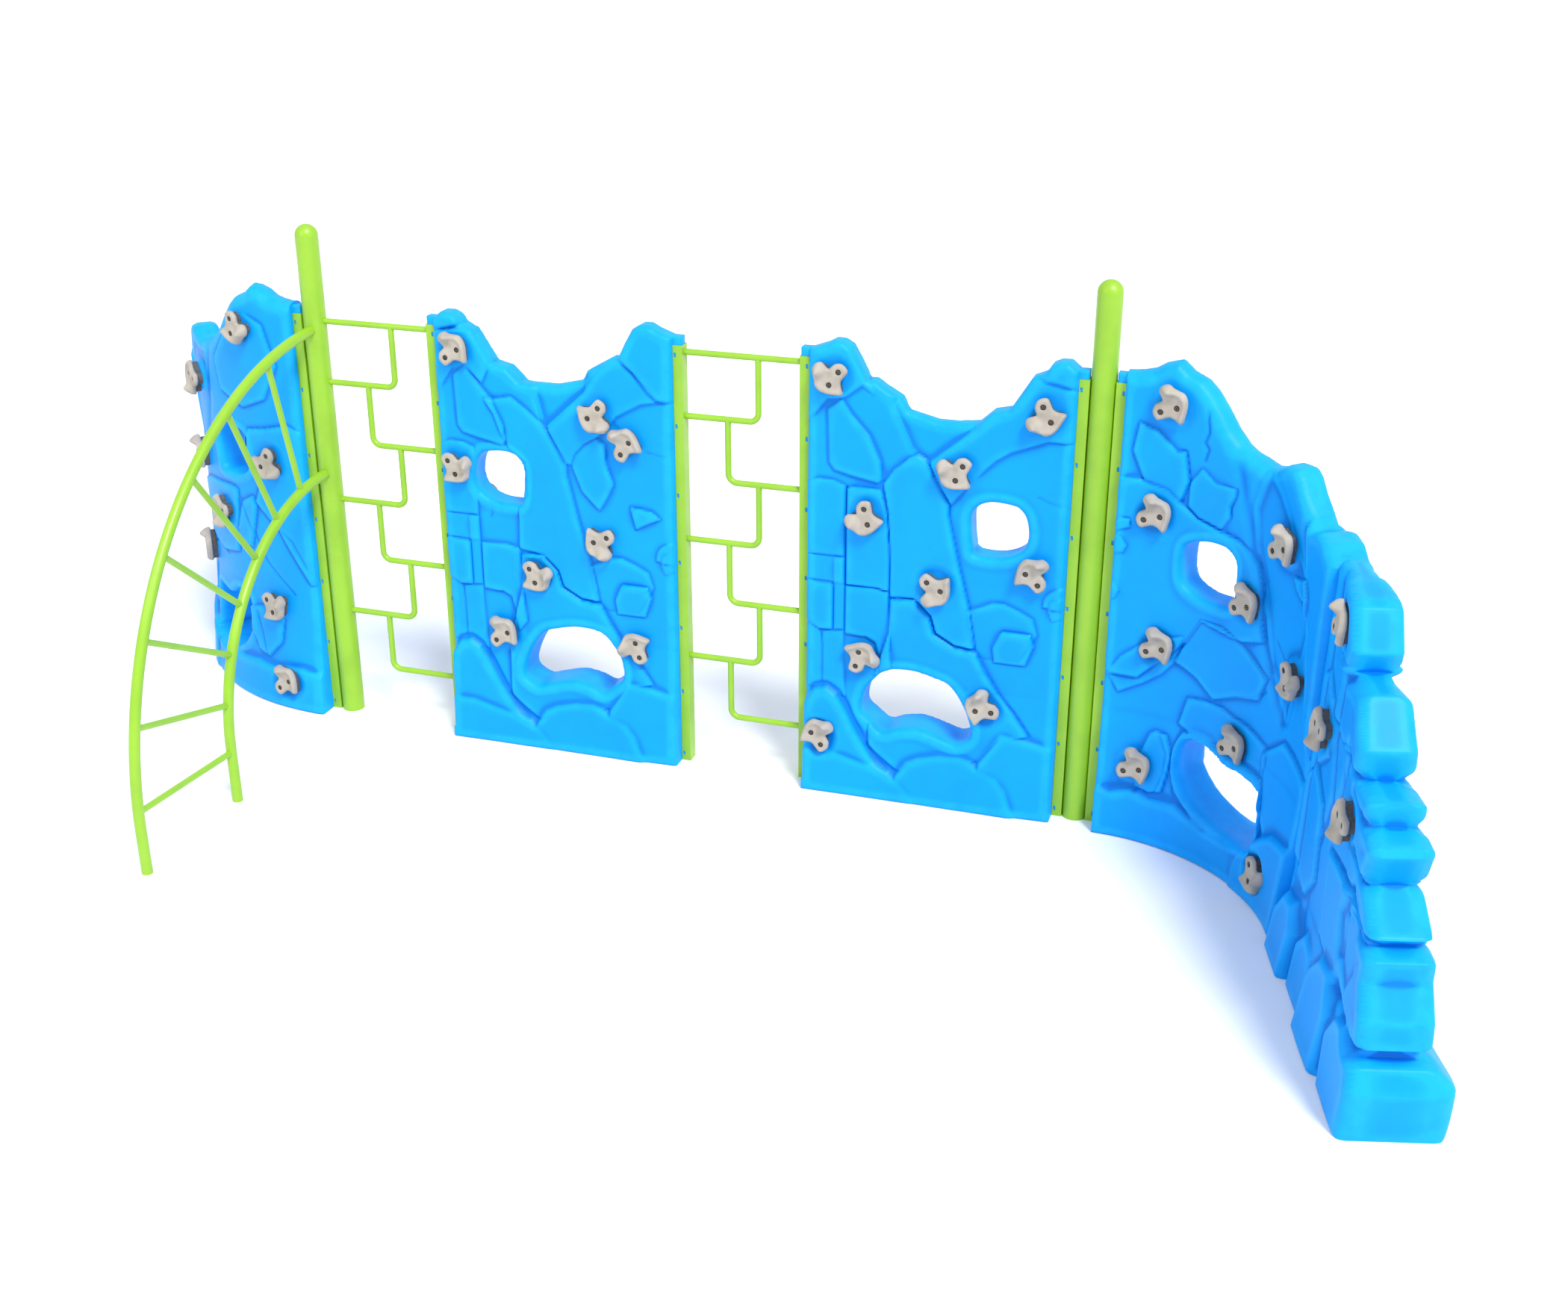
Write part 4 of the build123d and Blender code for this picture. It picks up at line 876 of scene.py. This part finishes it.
def end_face(u, z, depths, plan, blocks, holds):
    """Depth of one face of a stepped end, u past the curved wall."""
    height = np.interp(z, END_IN_HEIGHTS, depths)
    depth = soft_least(height, np.interp(u, *plan), 6.0)
    edge = along_line(u, z, END_STAIR)
    depth = depth + 16.0 * np.exp(-((edge / 110.0) ** 2)) * ramp((u - 150.0) / 200.0)
    depth = shaped(u, z, depth, END_STONES, blocks, END_CRACKS)
    plain = np.interp(z, (0, 400, 900, 1940), (170, 104, 80, 60))
    depth = seated(u, z, depth + ripple(u + 300.0, z, 2.0), plain, holds)
    base = edge_drop(np.minimum(z, u), 12.0)
    return depth - np.maximum(edge_drop(edge, END_ROUND), base)


def end_inside(u, z):
    """Distance to the outline of a stepped end."""
    return inside_of(u, z, END_EDGE)


def end_front(u, z):
    """Depth towards the hollow of the curve."""
    return end_face(u, z, END_IN_DEPTHS, END_IN_PLAN, END_BLOCKS_IN, END_HOLDS_INSIDE)


def end_back(u, z):
    """Depth towards the bulging side."""
    return end_face(u, z, END_OUT_DEPTHS, END_OUT_PLAN, [], [])


def end_place(way):
    """Puts a stepped end on the straight run past the curved wall."""
    def place(u, z, offset):
        return path_point(ARC_END + u, offset, z) * np.array([way, way, 1.0])
    return place


for name, way in (("right_end_wall", 1), ("left_end_wall", -1)):
    mesh = slab(((0.0, 1540.0), (0.0, 1944.0)), 10.0, end_inside, end_front, end_back,
                end_place(way), 14)
    make_rock(name + "_rock", *mesh, [name])

# %% [markdown]
# A hold is a three-lobed lump of cast resin on a rubber spacer, with two bolts sunk in
# round counterbores. It is a small slab of its own: a rounded outline, a horn at one
# lobe, a ridge down one side and a shallow dish between. One copy stands at each place.

# %% Hold shape
HOLD_EDGE = smooth_loop([
    (-82, 13), (-81, -18), (-68, -37), (-41, -38), (-10, -37), (13, -52), (42, -84),
    (72, -45), (93, -6), (100, 27), (94, 56), (73, 75), (51, 94), (34, 116), (10, 122),
    (-12, 115), (-24, 96), (-19, 54), (-37, 46), (-61, 39),
], 4)
SPACER_THICK, HOLD_THICK = 28.0, 30.0
BOLT_HALF_PITCH, COUNTERBORE_R, COUNTERBORE_DEEP = 42.0, 14.5, 15.0
HOLD_RIDGE = [(10, 100), (40, 84), (74, 58), (86, 22), (76, -14), (44, -64)]


def bore_distance(x, y):
    """Distance outside the nearer of the two counterbores."""
    return np.minimum(np.hypot(x - BOLT_HALF_PITCH, y), np.hypot(x + BOLT_HALF_PITCH, y)) - COUNTERBORE_R


def hold_inside(x, y):
    """Distance to the hold's outline or to a counterbore."""
    return np.minimum(inside_of(x, y, HOLD_EDGE), bore_distance(x, y))


def hold_top(x, y):
    """Height of the hold: its thickness, the horn, the ridge, the dish, round edges."""
    edge = inside_of(x, y, HOLD_EDGE)
    horn = 30.0 * np.exp(-((np.hypot(x - 26, y - 84) / 27.0) ** 2))
    ridge = 11.0 * np.exp(-((along_line(x, y, HOLD_RIDGE) / 15.0) ** 2))
    dish = 7.0 * np.exp(-((np.hypot(x - 4, y - 38) / 26.0) ** 2))
    bore = edge_drop(np.maximum(bore_distance(x, y), 0.0), 2.5)
    top = SPACER_THICK + HOLD_THICK - 3.0 + horn + ridge - dish
    return top - np.maximum(edge_drop(edge, 13.0) * (1.0 + (horn + ridge) / 60.0), bore)


def hold_low(x, y):
    """Underside of the hold, rounded up at its rim."""
    return -(SPACER_THICK + edge_drop(inside_of(x, y, HOLD_EDGE), 6.0))


def plain_place(x, y, height):
    """Keeps the drawing's own axes."""
    return np.stack([x, y, height], 1)


def bore_floor(middle):
    """The floor of one counterbore, a round plug that fills the hole up to its seat."""
    def inside(x, y):
        return COUNTERBORE_R + 0.3 - np.hypot(x - middle, y)

    def top(x, y):
        return np.full(x.shape, SPACER_THICK + HOLD_THICK - COUNTERBORE_DEEP)

    def low(x, y):
        return np.full(x.shape, -SPACER_THICK - 1.0)

    span = ((middle - 16.0, middle + 16.0), (-16.0, 16.0))
    return slab(span, 5.0, inside, top, low, plain_place, 1)


hold_points, hold_faces = joined(
    slab(((-86.0, 104.0), (-88.0, 126.0)), 5.0, hold_inside, hold_top, hold_low, plain_place, 4),
    bore_floor(-BOLT_HALF_PITCH), bore_floor(BOLT_HALF_PITCH),
)
print("one hold: points", len(hold_points), "faces", len(hold_faces))


# %% Standing holds on a face
def hold_at(origin, right, outward, turn, flip):
    """One hold's mesh on the plane at the origin: its own x and y axes are the plane's,
    turned anticlockwise, and a flipped hold is its mirror image, faces reversed."""
    outward = outward / np.linalg.norm(outward)
    right = right - outward * np.dot(right, outward)
    right = right / np.linalg.norm(right)
    up = np.cross(outward, right)
    c, s = math.cos(math.radians(turn)), math.sin(math.radians(turn))
    side = -1.0 if flip else 1.0
    axes = np.array([right * c + up * s, (up * c - right * s) * side, outward])
    faces = hold_faces[:, ::-1] if flip else hold_faces
    return origin + hold_points @ axes, faces


def face_depth(z, heights, depths):
    """Depth and slope of a plain face at one height, from its straight profile."""
    index = int(np.clip(np.searchsorted(heights, z) - 1, 0, len(heights) - 2))
    slope = (depths[index + 1] - depths[index]) / (heights[index + 1] - heights[index])
    return depths[index] + slope * (z - heights[index]), slope


def panel_hold(u, z, turn, front):
    """A hold on a panel's face in the panel's own frame."""
    depth, slope = face_depth(z, FACE_HEIGHTS, FACE_DEPTHS)
    way = -1.0 if front else 1.0
    origin = np.array([-way * (u - PANEL_WIDTH / 2), way * depth, z])
    return hold_at(origin, np.array([-way, 0.0, 0.0]), np.array([0.0, way, -slope]), turn, not front)


def wing_hold(s, z, turn, front, heights, depths):
    """A hold on a wing's face, standing square to the curve."""
    depth, slope = face_depth(z, heights, depths)
    angle = min(max((s - WING_LEAD) / WING_RADIUS, 0.0), WING_TURN)
    along = np.array([math.cos(angle), -math.sin(angle), 0.0])
    hollow = np.array([-math.sin(angle), -math.cos(angle), 0.0])
    way = 1.0 if front else -1.0
    origin = path_point(np.array([s]), way * depth, np.array([z]))[0]
    outward = hollow * way + np.array([0.0, 0.0, -slope])
    return hold_at(origin, along * way, outward, turn, False)


END_HEIGHTS, END_DEPTHS = (900, 1940), (80, 60)
panel_set = joined(
    *[panel_hold(*spot, True) for spot in PANEL_HOLDS_A],
    *[panel_hold(*spot, False) for spot in PANEL_HOLDS_B],
)
wing_set = joined(
    *[wing_hold(*spot, True, WING_HEIGHTS, WING_DEPTHS) for spot in WING_HOLDS_INSIDE],
    *[wing_hold(*spot, False, WING_HEIGHTS, WING_DEPTHS) for spot in WING_HOLDS_OUTSIDE],
)
end_set = joined(
    *[wing_hold(ARC_END + u, z, turn, True, END_HEIGHTS, END_DEPTHS)
      for u, z, turn in END_HOLDS_INSIDE],
)
for name, mesh, middle, way in (
    ("left_panel_holds", panel_set, LEFT_PANEL_X, 1), ("right_panel_holds", panel_set, RIGHT_PANEL_X, -1),
    ("right_wall_holds", wing_set, 0.0, 1), ("left_wall_holds", wing_set, 0.0, -1),
    ("right_end_holds", end_set, 0.0, 1), ("left_end_holds", end_set, 0.0, -1),
):
    points = mesh[0] * np.array([way, way, 1.0]) + np.array([middle, 0.0, 0.0])
    cast = make_piece(name + "_cast", points, mesh[1], [name], math.radians(60))
    # The socket attribute is 1 on the counterbores' walls and floors, where the resin's colour paints
    # shade.
    layer = cast.data.attributes.new("socket", "FLOAT", "POINT")
    inside_bore = bore_distance(hold_points[:, 0], hold_points[:, 1]) < 0.5
    inside_bore &= hold_points[:, 2] < SPACER_THICK + HOLD_THICK - 7.0
    count = len(points) // len(hold_points)
    layer.data.foreach_set("value", np.tile(inside_bore, count).astype(np.float32))

# %% [markdown]
# The finishes are written as sums. A small class wraps one socket of a node tree, so an
# expression such as 1 - mask adds its Math nodes by itself, and one method makes any
# other node from its type, its settings and its inputs.


# %% Shader maths
class Value:
    """One output socket of a material's node tree."""

    def __init__(self, tree, socket):
        self.tree, self.socket = tree, socket

    def node(self, kind, settings, inputs, output=0):
        """Adds a node, applies its settings, then fills or links its inputs."""
        made = self.tree.nodes.new(kind)
        for key, setting in settings.items():
            setattr(made, key, setting)
        for key, given in inputs.items():
            if isinstance(given, Value):
                self.tree.links.new(given.socket, made.inputs[key])
            else:
                made.inputs[key].default_value = given
        return Value(self.tree, made.outputs[output])

    def math(self, operation, first, second=0.0, clamp=False):
        """A Math node of two values."""
        settings = {"operation": operation, "use_clamp": clamp}
        return self.node("ShaderNodeMath", settings, {0: first, 1: second})

    def __add__(self, other):
        return self.math("ADD", self, other)

    __radd__ = __add__

    def __sub__(self, other):
        return self.math("SUBTRACT", self, other)

    def __rsub__(self, other):
        return self.math("SUBTRACT", other, self)

    def __mul__(self, other):
        return self.math("MULTIPLY", self, other)

    __rmul__ = __mul__

    def clamped(self):
        """The value cut to the range from 0 to 1."""
        return self.math("ADD", self, 0.0, True)

    def noise(self, scale, detail=2.0, roughness=0.5):
        """Fractal noise about 0.5 at this place, with that many cells a metre."""
        inputs = {"Vector": self, "Scale": scale, "Detail": detail, "Roughness": roughness}
        return self.node("ShaderNodeTexNoise", {}, inputs)

    def spots(self, scale, reach):
        """1 in the middle of scattered cells, falling to 0 at the reach."""
        cells = self.node("ShaderNodeTexVoronoi", {}, {"Vector": self, "Scale": scale})
        return (1.0 - cells * (1.0 / reach)).clamped()

    def step(self, low, high):
        """0 below low, 1 above high and a straight ramp between them."""
        return ((self - low) * (1.0 / (high - low))).clamped()

    def mix(self, first, second):
        """The first colour where this is 0 and the second where it is 1."""
        inputs = {0: self, 6: first, 7: second}
        return self.node("ShaderNodeMix", {"data_type": "RGBA"}, inputs, 2)


def finish_of(name, **constants):
    """A material with a Principled shader: its place value, its tree and its shader."""
    material = bpy.data.materials.new(name)
    material.use_nodes = True
    tree = material.node_tree
    shader = tree.nodes["Principled BSDF"]
    for key, given in constants.items():
        shader.inputs[key.replace("_", " ")].default_value = given
    coordinates = tree.nodes.new("ShaderNodeTexCoord")
    return material, Value(tree, coordinates.outputs["Object"]), shader


def feed(shader, value, key):
    """Links a value to one input of the shader."""
    value.tree.links.new(value.socket, shader.inputs[key])


def bump(height, strength, distance):
    """The surface normal tilted by the slope of a height."""
    inputs = {"Strength": strength, "Distance": distance, "Height": height}
    return height.node("ShaderNodeBump", {}, inputs)


def rgba(red, green, blue):
    """A colour socket's four numbers."""
    return (red, green, blue, 1.0)


print("shader helper ready")

# %% [markdown]
# The rocks are rotationally moulded polyethylene: one strong blue all through, a soft
# sheen, and a faint pebbled skin left by the mould. Ridges get a painted highlight and
# cracks get painted shade, so a relief attribute stored on each mesh drives the
# colour instead of anything the camera sees.

# %% Moulded blue plastic
plastic, place, shader = finish_of("moulded_blue_plastic", IOR=1.5, Specular_IOR_Level=0.14)
cloud = place.noise(1.6, 3.0)
flow = place.noise(9.0, 4.0, 0.6)
grain = place.noise(420.0, 2.0, 0.6)
pebble = place.noise(130.0, 3.0, 0.55)
relief = place.node("ShaderNodeAttribute", {"attribute_name": "relief"}, {}, 2)
deep_blue, fresh_blue = rgba(0.001, 0.270, 0.790), rgba(0.001, 0.305, 0.850)
base = (cloud * 0.7 + flow * 0.3).step(0.35, 0.65).mix(deep_blue, fresh_blue)
# Painted shade: cracks and hollows are darkened towards a deep blue.
shade = (relief * -1.0).step(0.08, 0.80) * 0.75
base = shade.mix(base, rgba(0.000, 0.135, 0.560))
# Painted highlight: ridges and sharp edges are lifted towards a pale cyan.
ridge_highlight = relief.step(0.10, 0.90) * (flow.step(0.35, 0.6) * 0.4 + 0.4) * 0.7
base = ridge_highlight.mix(base, rgba(0.010, 0.400, 0.960))
scuffs = place.noise(38.0, 5.0, 0.75).step(0.66, 0.74) * 0.10
base = scuffs.mix(base, rgba(0.030, 0.390, 0.900))
feed(shader, base, "Base Color")
feed(shader, 0.36 + flow * 0.12 + grain * 0.06 + scuffs * 1.2, "Roughness")
feed(shader, bump(pebble * 0.6 + grain * 0.4, 0.22, 0.0012), "Normal")
print("plastic", len(plastic.node_tree.nodes), "nodes")

# %% [markdown]
# The steel is powder coated in lime green. The coat is even, with a fine orange-peel
# grain and a gloss on top, and it wears to a slightly darker, duller green where hands
# and feet go.

# %% Powder-coated steel
coat, place, shader = finish_of("lime_powder_coat", IOR=1.5, Coat_Roughness=0.25)
speckle = place.noise(900.0, 2.0, 0.7)
peel = place.noise(260.0, 2.0, 0.5)
worn = place.noise(3.5, 4.0, 0.6).step(0.42, 0.68)
lime = worn.mix(rgba(0.245, 0.475, 0.012), rgba(0.215, 0.425, 0.012))
lime = (speckle.step(0.60, 0.78) * 0.35).mix(lime, rgba(0.155, 0.330, 0.008))
lime = ((1.0 - speckle).step(0.60, 0.78) * 0.25).mix(lime, rgba(0.350, 0.600, 0.045))
feed(shader, lime, "Base Color")
feed(shader, 0.34 + speckle * 0.12 + worn * 0.06, "Roughness")
feed(shader, 0.30 - worn * 0.12, "Coat Weight")
feed(shader, bump(speckle * 0.6 + peel * 0.4, 0.20, 0.0006), "Normal")
print("coat", len(coat.node_tree.nodes), "nodes")

# %% [markdown]
# The holds are cast from polyester resin filled with sand, so they are matt, slightly
# warm grey and full of fine dark and pale grains.

# %% Cast resin, rubber, steel and brass
resin, place, shader = finish_of("sanded_resin", IOR=1.45)
tone = place.noise(14.0, 3.0)
sand = place.noise(700.0, 2.0, 0.8)
pits = place.spots(420.0, 0.28)
stone_grey = tone.step(0.35, 0.65).mix(rgba(0.350, 0.312, 0.265), rgba(0.420, 0.378, 0.325))
stone_grey = (sand.step(0.58, 0.74) * 0.55).mix(stone_grey, rgba(0.225, 0.195, 0.162))
stone_grey = ((1.0 - sand).step(0.60, 0.76) * 0.45).mix(stone_grey, rgba(0.540, 0.498, 0.440))
stone_grey = (pits * 0.5).mix(stone_grey, rgba(0.120, 0.100, 0.085))
# Painted shade: inside the counterbores the resin is darkened almost to black.
socket = place.node("ShaderNodeAttribute", {"attribute_name": "socket"}, {}, 2)
stone_grey = (socket * 0.9).mix(stone_grey, rgba(0.030, 0.020, 0.014))
feed(shader, stone_grey, "Base Color")
feed(shader, 0.62 + sand * 0.20, "Roughness")
feed(shader, bump(sand - pits * 0.8, 0.35, 0.0008), "Normal")

rubber, place, shader = finish_of("spacer_rubber", IOR=1.5)
dust = place.noise(60.0, 4.0, 0.7)
rubber_grain = place.noise(800.0, 2.0)
feed(shader, dust.step(0.35, 0.7).mix(rgba(0.060, 0.056, 0.052), rgba(0.120, 0.112, 0.102)), "Base Color")
feed(shader, 0.72 + rubber_grain * 0.15, "Roughness")
feed(shader, bump(rubber_grain, 0.25, 0.0005), "Normal")

steel, place, shader = finish_of("dark_oxide_steel", Metallic=1.0)
plating = place.noise(120.0, 3.0, 0.6)
feed(shader, plating.step(0.3, 0.7).mix(rgba(0.060, 0.052, 0.046), rgba(0.150, 0.130, 0.115)), "Base Color")
feed(shader, 0.32 + plating * 0.25, "Roughness")
feed(shader, bump(place.noise(600.0, 2.0), 0.10, 0.0003), "Normal")

brass, place, shader = finish_of("insert_brass", Metallic=1.0)
tarnish = place.noise(90.0, 3.0)
feed(shader, tarnish.mix(rgba(0.620, 0.420, 0.160), rgba(0.780, 0.570, 0.260)), "Base Color")
feed(shader, 0.30 + tarnish * 0.20, "Roughness")
print("resin", len(resin.node_tree.nodes), "nodes")

# %% Finishes on every piece
FINISHES = {
    "frame": coat, "wall_plastic": plastic, "hold_resin": resin,
    "spacer_rubber": rubber, "fixing_steel": steel, "insert_brass": brass,
}
slots_of_nodes = {row["node"]: row["material_slot"] for row in frame["record"]["subparts"]}


def wear(piece, material):
    """Gives a piece one material in all its slots."""
    piece.data.materials.clear()
    piece.data.materials.append(material)


for name, node in nodes.items():
    wear(node, FINISHES[slots_of_nodes[name]])
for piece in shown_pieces():
    if piece.name.endswith("_rock"):
        wear(piece, plastic)
    if piece.name.endswith("_cast"):
        wear(piece, resin)

# %% [markdown]
# The wall stands on a plain pale floor, in soft studio light: a wide softbox above and in
# front, a weaker one on the right, and an even white surround.

# %% Floor and light
floor_mesh = bpy.data.meshes.new("floor")
FLOOR_HALF = 60.0
corners = [(-1, -1), (1, -1), (1, 1), (-1, 1)]
floor_mesh.from_pydata([(x * FLOOR_HALF, y * FLOOR_HALF, 0.0) for x, y in corners], [], [(0, 1, 2, 3)])
floor = bpy.data.objects.new("floor", floor_mesh)
bpy.context.scene.collection.objects.link(floor)
pale, place, shader = finish_of("pale_floor", Roughness=0.9)
feed(shader, place.noise(0.6).mix(rgba(0.90, 0.905, 0.91), rgba(0.92, 0.925, 0.93)), "Base Color")
floor_mesh.materials.append(pale)


def softbox(name, place, target, size, power):
    """A square area light at a place, facing its target."""
    data = bpy.data.lights.new(name, "AREA")
    data.shape, data.size, data.energy = "SQUARE", size, power
    light = bpy.data.objects.new(name, data)
    light.location = place
    way = np.array(target) - np.array(place)
    light.rotation_euler = (math.atan2(math.hypot(way[0], way[1]), -way[2]), 0.0,
                            math.atan2(way[0], -way[1]) + math.pi)
    bpy.context.scene.collection.objects.link(light)
    return light


softbox("left", (-5.0, -7.0, 6.5), (0.0, 0.0, 1.2), 3.0, 120.0)
softbox("right", (7.5, -4.0, 5.0), (1.0, 0.0, 1.2), 3.0, 60.0)
sun_data = bpy.data.lights.new("daylight", "SUN")
sun_data.energy, sun_data.angle = 2.9, math.radians(16.0)
sun = bpy.data.objects.new("daylight", sun_data)
sun.rotation_euler = (math.radians(38.0), 0.0, math.radians(44.0))
bpy.context.scene.collection.objects.link(sun)
world = bpy.data.worlds.new("surround")
world.use_nodes = True
world.node_tree.nodes["Background"].inputs["Color"].default_value = rgba(0.95, 0.97, 1.0)
world.node_tree.nodes["Background"].inputs["Strength"].default_value = 0.92
bpy.context.scene.world = world
bpy.context.scene.view_settings.view_transform = "Standard"
